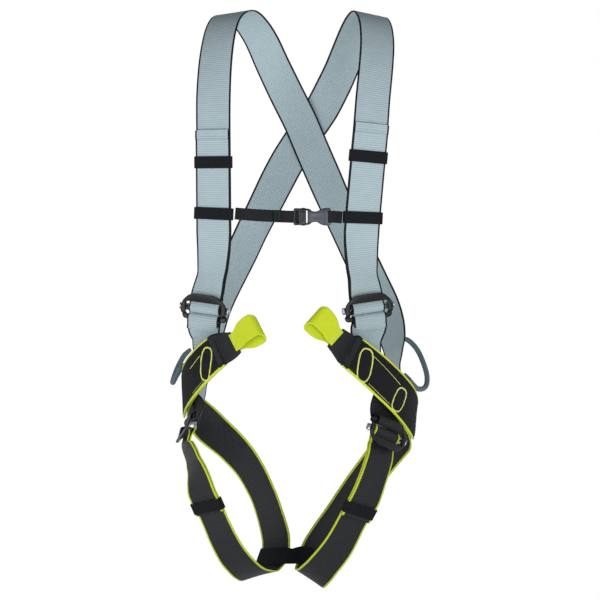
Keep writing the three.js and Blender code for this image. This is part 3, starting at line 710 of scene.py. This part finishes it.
def camera():
    """Level, 5 m in front of the harness, looking along +Y."""
    data = bpy.data.cameras.new("camera")
    data.lens, data.sensor_width = 236.2, 36
    obj = bpy.data.objects.new("camera", data)
    obj.location = (0, -5, 0.3683)
    obj.rotation_euler = (math.pi / 2, 0, 0)
    bpy.context.scene.collection.objects.link(obj)
    bpy.context.scene.camera = obj


def area_light(name, place, target, size, power):
    data = bpy.data.lights.new(name, "AREA")
    data.size, data.energy = size, power
    obj = bpy.data.objects.new(name, data)
    obj.location = place
    obj.visible_camera = False
    obj.rotation_euler = Vector(vec(*target) - vec(*place)).to_track_quat("-Z", "Y").to_euler()
    bpy.context.scene.collection.objects.link(obj)


def studio():
    """White surroundings whose light fades towards the zenith, one soft key in front and a pale floor."""
    world = bpy.data.worlds.new("studio")
    world.use_nodes = True
    tree = world.node_tree
    new, link = tree.nodes.new, tree.links.new
    lit, seen = tree.nodes["Background"], new("ShaderNodeBackground")
    seen.inputs[0].default_value = (1, 1, 1, 1)
    lit.inputs[0].default_value = (0.98, 0.99, 1.0, 1)
    split, fade = new("ShaderNodeSeparateXYZ"), new("ShaderNodeMapRange")
    link(new("ShaderNodeTexCoord").outputs["Generated"], split.inputs[0])
    fade.interpolation_type = "SMOOTHSTEP"
    for socket, value in zip(fade.inputs[1:5], SKY):
        socket.default_value = value
    link(split.outputs[2], fade.inputs[0])
    link(fade.outputs[0], lit.inputs[1])
    mix = new("ShaderNodeMixShader")
    link(new("ShaderNodeLightPath").outputs["Is Camera Ray"], mix.inputs[0])
    link(lit.outputs[0], mix.inputs[1])
    link(seen.outputs[0], mix.inputs[2])
    link(mix.outputs[0], tree.nodes["World Output"].inputs[0])
    bpy.context.scene.world = world
    bpy.context.scene.view_settings.view_transform = "Standard"
    area_light("key", (0.8, -2.3, -0.2), (0, 0, 0.25), 1.2, 27)
    area_light("side", (-2.0, -1.5, 0.1), (0, 0, 0.3), 1.0, 13)
    area_light("rear", (0.5, 2.6, 0.9), (0, 0, 0.4), 1.4, 16)
    floor = Mesh("floor")
    turns = np.linspace(0, 2 * math.pi, 97)[:-1]
    around = np.stack([np.cos(turns), np.sin(turns), 0 * turns], 1)
    spots = np.array([around * r + vec(0, 0, FLOOR) for r in (0.001, 0.5, FLOOR_R)])
    floor.grid(spots, spots[..., :2], ring=True)
    pale = Nodes("pale floor")
    pale.shader.inputs["Emission Color"].default_value = (1, 1, 1, 1)
    pale.shader.inputs["Emission Strength"].default_value = FLOOR_GLOW
    grain = pale.noise(pale.place(), 3.0)
    floor.make(pale.finish(pale.mix(grain, (0.88, 0.88, 0.88), (0.93, 0.93, 0.93)), 0.9))


# ---- shoulder straps


def full_roll(node, side, place):
    """A strap's strip whose roll round the slide bar is full enough to meet the webbing below it."""
    centre, across, out, wide, thick = sections(node, towards=(0, 0, 1))
    o, _, v, _ = buckle_axes(side, place)
    below = (centre - o) @ v
    near = (np.linalg.norm(centre - o - below[:, None] * v, axis=1) < 8 * MM) & (below > -8 * MM)
    centre = centre + v * (below * ROLL_SAG * (near & (below < 0)))[:, None]
    return Strip(centre, across, out, wide, thick)


def led_behind(line, onto):
    """The strip led on down inside another webbing, so that its end is hidden there."""
    k = np.argmin(np.linalg.norm(onto.rows[:, :3] - line.rows[-1, :3], axis=1))
    row = onto.rows[k]
    travel = unit(onto.rows[k + 1, :3] - onto.rows[k - 1, :3])
    travel = travel * np.sign(travel @ line.rows[-1, 3:6])
    centre = row[:3] + row[3:6] * END_RISE - row[6:9] * END_GAP
    end = np.concatenate([centre, travel, -row[6:9], line.known[-1, 9:]])
    known = np.vstack([line.known, end])
    return Strip(known[:, :3], known[:, 3:6], known[:, 6:9], known[:, 9], known[:, 10])


def webbing(name, line, node, material, slot, **settings):
    """A plain webbing along a strip, in its node's place."""
    web = Mesh(name)
    cloth(web, line, **settings)
    ready(web.make(material), node)


def tail_hem(name, line, s, seams, face, node, material, thread):
    """A tail's end, folded over and sewn. Its free face is the strip's own, 1, or the other, -1."""
    ply = line.rows[0, 10] * 2
    hem = Mesh(name)
    lift = face * ply * (0.82 + 0.12 * np.sin(np.linspace(0, math.pi, len(s))))
    cloth(hem, line, s=s, lift=lift, thick=ply * 0.8)
    for at in seams:
        points, out = on_strip(line, at, np.linspace(-HEM_SEAM, HEM_SEAM, 60), face * ply * 1.28)
        stitches(hem, points, out * face, slot=1)
    ready(hem.make(material, thread), node, replaces=False)


def shoulder_strap(side):
    node = f"{side}_shoulder_strap"
    line = full_roll(node, side, "shoulder")
    if side == "left":
        line = led_behind(line, strip("right_leg_strap"))
    # The rear end is tucked in behind the hip webbing.
    s = line.s[line.s < line.length - TUCK[side]]
    webbing(f"{side}_shoulder_webbing", line, node, WEB_GREY, "webbing_grey", s=s)
    s = np.linspace(0.2 * MM, HEM, 8)
    tail_hem(f"{side}_tail_hem", line, s, (8.6 * MM,), 1, node, WEB_GREY, GREY_THREAD)


def crossing():
    """Where the two shoulder straps cross behind, seen from the back."""
    right, left = (strip(f"{side}_shoulder_strap").rows[:, :3] for side in SIDES)
    right, left = right[right[:, 1] > BEHIND], left[left[:, 1] > BEHIND]
    gap = np.linalg.norm((right[:, None] - left[None]) * vec(1, 0, 1), axis=2)
    i, j = np.unravel_index(gap.argmin(), gap.shape)
    return (right[i] + left[j]) / 2


def back_patch(side):
    """Two rows of stitches round the crossing, on the strap's own free face."""
    line = strip(f"{side}_shoulder_strap")
    behind = line.rows[:, 1] > BEHIND
    rows, s = line.rows[behind], line.s[behind]
    face = -1 if side == "right" else 1
    limit = 19 * MM  # the stitches stay this near the strap's middle
    spots = []
    for x, z in PATCH:
        away = crossing() + vec(x, 0, z) * MM - rows[:, :3]
        k = int(np.argmin(np.linalg.norm(away * vec(1, 0, 1), axis=1)))
        spots.append((s[k], np.clip(away[k] @ rows[k, 3:6], -limit, limit)))
    sewn_patch = Mesh(f"{side}_crossing_stitches")
    spots = np.array(spots)
    for inset in (1.0, 0.86):
        ring = spots.mean(0) + (spots - spots.mean(0)) * inset
        run = spaced([*ring, ring[0]], 1.5 * MM)
        points, out = on_strip(line, run[:, 0], run[:, 1], face * (line.rows[0, 10] + 0.08 * MM))
        stitches(sewn_patch, points, out * face, pitch=3.6 * MM, share=0.55)
    ready(sewn_patch.make(GREY_THREAD), f"{side}_shoulder_strap", replaces=False)


# ---- bands


def band(node, name, material):
    """An elastic or webbing band round a strap, from the CAD band's own sizes."""
    centre, (n, v, u), half = axes(node)
    n = facing(n, centre * vec(1, 1, 0))
    hu, hn = half[2] - BAND_WALL / 2, half[0] - BAND_WALL / 2
    r = min(3.0 * MM, hn - 0.2 * MM)
    path = []
    for cu, cn, start in ((1, 1, 0), (-1, 1, 90), (-1, -1, 180), (1, -1, 270)):
        for a in np.radians(start + np.arange(0, 91, 15)):
            c, s = math.cos(a), math.sin(a)
            path.append((cu * (hu - r) + r * c, cn * (hn - r) + r * s, c, s))
        if cu * cn > 0:  # a long face follows this corner
            x, y = path[-1][:2]
            path += [(x + (-cu * (hu - r) - x) * f, y, 0, cn) for f in np.linspace(0, 1, 12)[1:-1]]
    path.append(path[0])
    path = np.array(path)
    points = centre + path[:, :1] * u + path[:, 1:2] * n
    out = unit(path[:, 2:3] * u + path[:, 3:4] * n)
    round_it, _ = section(PLAIN_SECTION, half[1], 4)
    x, h = round_it[:, 0], round_it[:, 1] * BAND_WALL / 2
    grid = points[:, None] + v * x[None, :, None] + out[:, None] * h[None, :, None]
    mesh = Mesh(name)
    mesh.grid(grid[:-1], sheet(x, distances(points)), ring=True, closed=True)
    ready(mesh.make(material), node)


# ---- chest strap


def chest_strap():
    for side in SIDES:
        band(f"chest_loop_{side}", f"chest_band_{side}", ELASTIC)
        node = f"chest_webbing_{side}"
        line = strip(node, towards=(-1 if side == "right" else 1, 0, 0), step=1 * MM)
        web = Mesh(f"chest_strap_{side}")
        cloth(web, line, shape=PLAIN_SECTION)
        if side == "right":  # the tail's end, folded over and sewn
            ply = line.rows[0, 10] * 2
            s = line.length - np.linspace(10, 0.2, 8) * MM
            cloth(web, line, s=s, shape=PLAIN_SECTION, lift=-0.85 * ply, thick=0.8 * ply)
            points, out = on_strip(line, line.length - 7.5 * MM, np.linspace(-6, 6, 24) * MM, -1.3 * ply)
            stitches(web, points, -out, slot=1)
        piece = ready(web.make(WEB_NARROW, BLACK_THREAD), node)
        if side == "left":
            tuple(line.at(0)[0])
            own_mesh(piece)


# ---- strap buckles


def ring_part(mesh, outer, inner, thick, lift, square=0.42):
    """A moulded ring between two closed outlines, with rounded edges. lift(x, y) raises its middle."""
    a = np.arange(20) * math.pi / 10
    across = 0.5 + 0.5 * np.sign(np.cos(a)) * np.abs(np.cos(a)) ** square
    height = np.sign(np.sin(a)) * np.abs(np.sin(a)) ** square * thick / 2
    flat = inner[:, None] + (outer - inner)[:, None] * across[None, :, None]
    rise = lift(flat[..., 0], flat[..., 1]) + height[None]
    points = np.concatenate([flat, rise[..., None]], 2)
    points = np.concatenate([points, points[:1]])
    mesh.grid(points, sheet(np.append(a, 2 * math.pi) * 2 * MM, np.arange(len(points)) * MM), ring=True)


def outline(corners, count):
    """Evenly counted points round a closed outline of (x, y, corner radius)."""
    points = []
    spots, radii = np.array(corners)[:, :2], np.array(corners)[:, 2]
    for last, here, after, r in zip(np.roll(spots, 1, 0), spots, np.roll(spots, -1, 0), radii):
        a, b = here + unit(last - here) * r, here + unit(after - here) * r
        points += [(1 - t) ** 2 * a + 2 * t * (1 - t) * here + t**2 * b for t in np.linspace(0, 1, 9)]
    points = np.array([*points, points[0]])
    run = distances(points)
    keep = np.append(True, np.diff(run) > 1e-9)
    want = np.linspace(0, run[-1], count + 1)[:-1]
    return np.stack([np.interp(want, run[keep], points[keep, k]) for k in (0, 1)], 1)


def matched(outer, inner):
    """The inner outline again, each point on the same bearing as its outer mate."""
    centre = inner.mean(0)
    bearing = np.unwrap(np.arctan2(*(inner - centre).T[::-1]))
    turn = 2 * math.pi * np.sign(bearing[-1] - bearing[0])
    bearing = np.concatenate([bearing - turn, bearing, bearing + turn])
    looped = np.concatenate([inner] * 3)
    order = np.argsort(bearing)
    want = np.unwrap(np.arctan2(*(outer - centre).T[::-1]))
    want += 2 * math.pi * round((bearing[order].mean() - want.mean()) / (2 * math.pi))
    return np.stack([np.interp(want, bearing[order], looped[order, k]) for k in (0, 1)], 1)


def buckle_axes(side, place):
    """The slide bar's centre, its line u, the webbing's line v towards the bowed plate, and outward n."""
    joint = JOINT[f"{side}_{place}_slider_tilt"]
    o, u = vec(*joint["pos_m"]), unit(vec(*joint["axis"]))
    node = f"{side}_{place}_buckle_frame"
    points, _ = welded(node)
    n = facing(axes(node)[1][0], o * vec(1, 1, 0))
    v = facing(unit(np.cross(n, u)), points[np.argmax((points - o) @ n)] - o)
    return o, np.cross(v, n), v, n


def strap_buckle(side, place):
    """Coated steel frame with a bowed plate, over the webbing's roll, and its plated slide bar."""
    o, u, v, n = buckle_axes(side, place)
    node = f"{side}_{place}_buckle_frame"
    points, _ = welded(node)
    local = (points - o) @ np.stack([u, v, n], 1)
    half = np.abs(local[:, 0]).max()
    low, high = local[:, 1].min(), local[:, 1].max()
    seat = local[(np.abs(local[:, 0]) > half - 8 * MM) & (np.abs(local[:, 1]) < 5 * MM)][:, 2].min()
    base = seat + FRAME_PLATE / 2
    drop = seat - local[:, 2].min()
    arch = local[:, 2].max() - seat - 4.8 * MM
    corner, top, inner = 6 * MM, 0.62 * half, half - FRAME_RAIL
    outer = outline([
        (-half, low, corner), (half, low, corner), (half, corner, corner), (top, high, 8 * MM),
        (-top, high, 8 * MM), (-half, corner, corner),
    ], 160)
    hole = matched(outer, outline([
        (-inner, low + FRAME_BAR, 2 * MM), (inner, low + FRAME_BAR, 2 * MM),
        (inner, FRAME_WINDOW, 2 * MM), (-inner, FRAME_WINDOW, 2 * MM),
    ], 160))

    def lift(x, y):
        rise = np.clip((y - 0.004) / (high - 0.004), 0, 1)
        middle = np.clip(1 - (x / half) ** 2, 0, 1)
        back = np.clip((-y - 5.5 * MM) / (4 * MM), 0, 1)
        return base - drop * back**2 * (3 - 2 * back) + arch * rise * (0.35 + 0.65 * middle)

    frame_mesh = Mesh(f"{side}_{place}_frame")
    ring_part(frame_mesh, outer, hole, FRAME_PLATE, lift)
    frame_mesh.points = [o + p[:, :1] * u + p[:, 1:2] * v + p[:, 2:] * n for p in frame_mesh.points]
    ready(frame_mesh.make(STEEL), node)

    # The slide bar has a bent, plated tab at each end.
    slide = Mesh(f"{side}_{place}_slide_bar")
    reach = half - 1.6 * MM
    tube(slide, o + np.linspace(-reach, reach, 60)[:, None] * u, SLIDE_BAR_R, n, sides=18)
    for end in (-1, 1):
        bend = spaced([o + end * a * MM * u + b * MM * n + c * MM * v for a, b, c in TAB], 0.5 * MM)
        tube(slide, bend, 4.2 * MM, np.cross(np.gradient(bend, axis=0), v), sides=16, flat=0.24)
    ready(slide.make(CHROME), f"{side}_{place}_buckle_slider")


# ---- legs and hips


def leg_strap(side):
    node = f"{side}_leg_strap"
    line = full_roll(node, side, "leg")
    webbing(f"{side}_leg_webbing", line, node, WEB_BLACK, "webbing_black")
    s, seams = line.length - np.linspace(HEM, 0.2 * MM, 8), line.length - vec(8.6, 4.2) * MM
    tail_hem(f"{side}_leg_tail_hem", line, s, seams, -1, node, WEB_BLACK, BLACK_THREAD)
    node = f"{side}_leg_anchor"
    webbing(f"{side}_anchor_webbing", strip(node, step=1.2 * MM), node, ANCHOR, "webbing_black")


def hip_pad(side):
    node = f"{side}_hip_pad"
    line = strip(node, step=0.9 * MM)
    half, thick = line.rows[0, 9:]
    shape = np.array(PAD_SECTION)

    def crown(x):
        return np.interp(half - np.abs(x), shape[:, 0] * MM, shape[:, 1], right=1.0)

    t = np.linspace(0, 2 * math.pi, 120)
    sewn_at = []
    for middle, (a, b), way in OVALS[side]:
        way = unit(vec(*way))
        long, short = (k * np.sign(f) * np.abs(f) ** 0.72 for k, f in ((a, np.cos(t)), (b, np.sin(t))))
        sewn_at.append((middle + long[:, None] * way + short[:, None] * vec(-way[1], way[0])) * MM)
    rows = [np.linspace(a, b, 60) * MM for a, b in ROWS[side]]
    pressed = np.concatenate([*sewn_at, *rows])
    near = KDTree(len(pressed))
    for i, spot in enumerate(pressed):
        near.insert((*spot, 0), i)
    near.balance()

    def ripple(s, x):
        """Ribs across the cover that pucker, and grooves where it is sewn down."""
        fade = np.clip((half - np.abs(x)) / (7 * MM), 0, 1) ** 1.5
        lean = s + 0.22 * x + 1.2 * MM * np.sin(x / (6 * MM))
        ribs = 0.10 * np.sin(2 * math.pi * lean / (4.6 * MM))
        soft = 0.06 * np.sin(2 * math.pi * (s / (31 * MM) + 0.2)) * np.cos(x / (15 * MM))
        spots = np.stack(np.broadcast_arrays(s, x), -1)
        gap = np.array([near.find((a, b, 0))[2] for a, b in spots.reshape(-1, 2)]).reshape(spots.shape[:2])
        return fade * (ribs + soft) - 0.22 * np.exp(-((gap / (2.2 * MM)) ** 2))

    def top(sx):
        s, x = sx[:, 0], sx[:, 1]
        lift = thick * crown(x) * (1 + ripple(s[:, None], x[:, None])[:, 0])
        return line.at(s, x, lift), line.out(s)

    pad = Mesh(f"{side}_pad")
    cloth(pad, line, shape=PAD_SECTION, ripple=ripple, middle=26)
    for path in sewn_at:
        points, out = top(path)
        satin(pad, points, out, 2.2 * MM, slot=2)
    for path in rows:
        points, out = top(path)
        stitches(pad, points + out * 0.15 * MM, out, pitch=3.4 * MM, share=0.6, radius=SATIN_THREAD, slot=2)
    # Lime tape over both long edges and the rear end, round its corners.
    start, end, edge, r = 0.5 * MM, line.length - 0.8 * MM, half - 0.7 * MM, 5 * MM
    turn = np.linspace(0, math.pi / 2, 7)
    around = [(start, -edge)]
    around += [(end - r + r * math.sin(a), r - edge - r * math.cos(a)) for a in turn]
    around += [(s, -x) for s, x in reversed(around)]
    tape = spaced(around, 1.2 * MM)
    points, out = line.at(tape[:, 0], tape[:, 1]), line.out(tape[:, 0])
    tube(pad, points, TAPE_R, out, sides=12, flat=0.85, slot=1)
    inset = tape * vec(1, (edge - 2.4 * MM) / edge)
    lift = thick * crown(inset[:, 1]) * 1.03
    stitches(pad, line.at(inset[:, 0], inset[:, 1], lift), out, slot=3)
    piece = ready(pad.make(PAD_CLOTH, BINDING, LIME_THREAD, BLACK_THREAD), node)


def neck(side):
    """Folded webbing from the tie-in loop into the pad's front end."""
    node = f"{side}_neck_webbing"
    own = sections(node, towards=(1 if side == "right" else -1, 0, 0))
    pad = sections(f"{side}_hip_pad", towards=(0, 0, 1))
    joined = [np.concatenate([a, b[:3]]) for a, b in zip(own, pad)]
    joined[4][:] = joined[4][0]
    line = Strip(*joined, step=1 * MM)
    s = line.s[line.s < line.s_known[len(own[0])] + 9 * MM]
    web = Mesh(f"{side}_neck")
    cloth(web, line, s=s, shape=PLAIN_SECTION, middle=12)
    for x in (-9, 9):
        points, out = on_strip(line, s[s > 4 * MM], x * MM, line.rows[0, 10] * 1.02)
        stitches(web, points, out, slot=1)
    ready(web.make(WEB_NECK, BLACK_THREAD), node)


def tie_in(side):
    """A flared loop of doubled lime webbing, sewn over the neck webbing's end."""
    node = f"{side}_tie_in_loop"
    joint = JOINT[f"{side}_tie_in_flex"]
    o, u = vec(*joint["pos_m"]), unit(vec(*joint["axis"]))
    offset = welded(node)[0].mean(0) - o
    v = unit(offset - u * (offset @ u))
    n = np.cross(u, v)
    front = spaced(np.array(LOOP_LINE), 0.8)
    tip = LOOP_LINE[-1][0]
    around = np.linspace(0, math.pi, 25)[1:-1]
    turn = np.stack([tip + LOOP_TURN * np.sin(around), LOOP_TURN * np.cos(around)], 1)
    flat = np.concatenate([front, turn, front[::-1] * vec(1, -1)]) * MM
    outward, down = facing(n, o * vec(1, 1, 0)), facing(u, (0, 0, -1))
    skew = flat[:, 1:] * (n @ outward) * np.clip(flat[:, :1] / (12 * MM), 0, 1)
    points = o + flat[:, :1] * v + flat[:, 1:] * n - down * skew * LOOP_SKEW
    travel = unit(np.gradient(points, axis=0))
    along_loop = np.clip(flat[:, 0] / (tip * MM), 0, 1)
    half = (LOOP_HALF[0] + (LOOP_HALF[1] - LOOP_HALF[0]) * np.sin(along_loop * math.pi / 2)) * MM
    from_end = np.minimum(np.arange(len(points)), np.arange(len(points))[::-1]) / 8
    thick = (0.8 + 0.75 * np.clip(from_end, 0, 1)) * MM
    line = Strip(points, np.broadcast_to(u, points.shape), np.cross(u, travel), half, thick, step=0.8 * MM)
    loop = Mesh(f"{side}_loop")
    cloth(loop, line, shape=PLAIN_SECTION, middle=14)
    seam = (LOOP_HALF[0] - 2) * MM
    for at in vec(1.6, 3.4, 5.2) * MM:
        for end in (at, line.length - at):
            where, _ = on_strip(line, end, np.linspace(-seam, seam, 50), 1.05 * MM)
            away = np.sign((where - o) @ n)[:, None] * n
            stitches(loop, where + away * 0.25 * MM, away, slot=1)
    piece = loop.make(WEB_LIME, LIME_THREAD)
    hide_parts(node)
    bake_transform(piece)


def caps(points, faces, corners):
    """Sets of the corner points of the flat faces that have that many corners."""
    tri = points[np.array(faces)]
    normal = unit(np.cross(tri[:, 1] - tri[:, 0], tri[:, 2] - tri[:, 0]))
    level = (normal * tri[:, 0]).sum(1)
    found = {}
    for i, face in enumerate(faces):
        key = (*np.round(normal[i], 3), round(level[i] / MM, 1))
        found.setdefault(key, set()).update(face)
    return [c for c in found.values() if len(c) == corners]


def gear_loop(side):
    """A woven sleeve on a core; its flattened ends are bar-tacked to the hip pad."""
    node = f"{side}_gear_loop"
    points, faces = welded(node)
    for cap in caps(points, faces, 8):
        found = levels(sorted(cap), neighbours(points, faces))
        if all(len(r) == 8 for r in found):
            break
    middle = points[np.array(found)].mean(1)
    radius = np.linalg.norm(points[found[0]] - middle[0], axis=1).mean()
    line = spaced(middle, 4 * MM)
    fine = np.linspace(0, len(line) - 1, len(line) * 6)
    i = np.clip(fine.astype(int), 0, len(line) - 2)
    line = between(line, np.gradient(line, axis=0), i, (fine - i)[:, None])
    run = distances(line)
    press = np.clip(1 - np.minimum(run, run[-1] - run) / (11 * MM), 0, 1) ** 1.3
    out = unit(line * vec(1, 1, 0))
    line = line - out * (press * 1.1 * MM)[:, None]
    loop = Mesh(f"{side}_sleeve")
    # Cross threads stand a little proud all the way along.
    beat = 1 + 0.018 * np.sin(run * 2 * math.pi / (2.1 * MM))
    tube(loop, line, radius, out, sides=24, flat=1 - 0.55 * press, taper=beat * (1 + 0.28 * press))
    x = np.linspace(-1, 1, 12)
    for at in vec(3.0, 5.2, 7.4) * MM:
        for s in (at, run[-1] - at):
            k = int(np.argmin(np.abs(run - s)))
            across = unit(np.cross(line[k + 1] - line[k - 1], out[k]))
            bulge = np.sqrt(1 - (0.8 * x) ** 2) * radius * (1 - 0.55 * press[k])
            row = line[k] + across * (x * radius)[:, None] + out[k] * (bulge + 0.1 * MM)[:, None]
            satin(loop, row, np.broadcast_to(out[k], row.shape), 1.5 * MM, slot=1)
    ready(loop.make(SLEEVE, BLACK_THREAD), node)


def crotch():
    """Elastic between the leg loops, sewn to itself in the middle and to each loop."""
    line = strip("crotch_elastic", towards=(-1, 0, 0), step=0.9 * MM)
    web = Mesh("crotch_band")
    cloth(web, line, shape=PLAIN_SECTION, middle=12)
    half = line.rows[0, 9] - 2 * MM
    seams = vec(3, 6, -1.5, 1.5, -6, -3) * MM + vec(0, 0, 0.5, 0.5, 1, 1) * line.length
    for at in seams:
        for face in (-1, 1):
            points, out = on_strip(line, at, np.linspace(-half, half, 40), face * line.rows[0, 10] * 1.05)
            stitches(web, points, out * face, slot=1)
    ready(web.make(ELASTIC, BLACK_THREAD), "crotch_elastic")


# ---- chest buckle


def chest_buckle():
    """Side-release buckle: hollow socket, waisted plug and its two prongs, drawn lying down in mm:
    x along the strap, then up, then out."""
    low, high = (vec(*corner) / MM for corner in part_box("chest_buckle_socket"))
    _, y, z = (low + high) / 2
    x0 = low[0]

    def finish(mesh, material, node):
        mesh.points = [np.stack([p[:, 0], y - p[:, 2], z + p[:, 1]], 1) * MM for p in mesh.points]
        ready(mesh.make(material), node)

    def mirrored(corners):
        return [(x, -h, r) for x, h, r in corners] + [(x, h, r) for x, h, r in reversed(corners)]

    socket = Mesh("chest_socket")
    outer = outline(mirrored([(x0, 10.8, 2.6), (7.6, 10.2, 1.2)]), 140)
    slot = outline(mirrored([(x0 + 2.6, 7.1, 0.8), (x0 + 7.0, 7.1, 0.8)]), 140)
    ring_part(socket, outer, matched(outer, slot), 8.2, lambda x, _: 0 * x, square=0.5)
    # A raised face plate, front and back.
    rim = outline(mirrored([(0.4, 6.6, 2), (6.4, 6.6, 1.2)]), 80)
    steps = ((1.0, 3.9), (0.97, 4.5), (0.9, 4.7), (0.6, 4.62), (0.3, 4.5), (0.01, 4.45))
    for face in (-1, 1):
        rows = [np.insert(rim.mean(0) + (rim - rim.mean(0)) * k, 2, face * h, 1) for k, h in steps]
        socket.grid(np.stack(rows), np.stack(rows)[..., :2], ring=True)
    finish(socket, PLASTIC, "chest_buckle_socket")

    plug = Mesh("chest_plug_body")
    waist = spaced(PLUG_WAIST, 0.7)
    bar = np.interp(waist[:, 0], *np.array(PLUG_DEEP).T)[:, None]
    share = np.linspace(-1, 1, 41)
    # The face is dished lengthways, and stands proud along both waisted sides.
    dish = 0.9 * np.exp(-(((waist[:, :1] - 20) / 6.5) ** 2)) * np.exp(-((share / 0.55) ** 2))
    deep = (bar - dish) * np.sqrt(np.clip(1 - share**4, 0, 1))
    x, up = np.broadcast_to(waist[:, :1], deep.shape), waist[:, 1:] * share
    front, back = np.stack([x, up, deep], -1), np.stack([x, up, -deep], -1)[:, ::-1]
    both = np.concatenate([front, back[:, 1:-1]], 1)
    middle = both.mean(1, keepdims=True)
    both = np.concatenate([middle[:1] + 0 * both[:1], both, middle[-1:] + 0 * both[-1:]])
    plug.grid(both, np.pad(both, ((0, 0), (0, 1), (0, 0)), mode="wrap")[..., :2], ring=True)
    # A raised bar across the webbing end.
    tube(plug, spaced([(31.2, -8.6, 3.5), (31.2, 8.6, 3.5)], 0.8), 0.9, (0, 0, 1), sides=12)
    # The plug is drawn in the lightened acetal: painted highlight.
    finish(plug, PLASTIC_HIGHLIT, "chest_buckle_plug")

    for name, way in (("upper", 1), ("lower", -1)):
        prong = Mesh(f"prong_{name}")
        rail = spaced([(x, h * way, 0) for x, h in PRONG], 0.5)
        wide = np.interp(rail[:, 0], *np.array(PRONG_WIDE).T)
        tube(prong, rail, 2.6, (0, 0, 1), sides=18, taper=wide * 0.62)
        finish(prong, PLASTIC, f"chest_buckle_prong_{name}")


camera()
studio()
for side in SIDES:
    shoulder_strap(side)
    back_patch(side)
    node = f"{side}_hip_riser"
    webbing(f"{side}_riser_webbing", strip(node, step=1.2 * MM), node, WEB_GREY, "webbing_grey")
    leg_strap(side)
    hip_pad(side)
    neck(side)
    tie_in(side)
    gear_loop(side)
    band(f"{side}_strap_keeper", f"{side}_keeper", ELASTIC)
    band(f"{side}_leg_keeper", f"{side}_lower_keeper", ELASTIC)
    for place in ("shoulder", "leg"):
        strap_buckle(side, place)
crotch()
chest_strap()
chest_buckle()
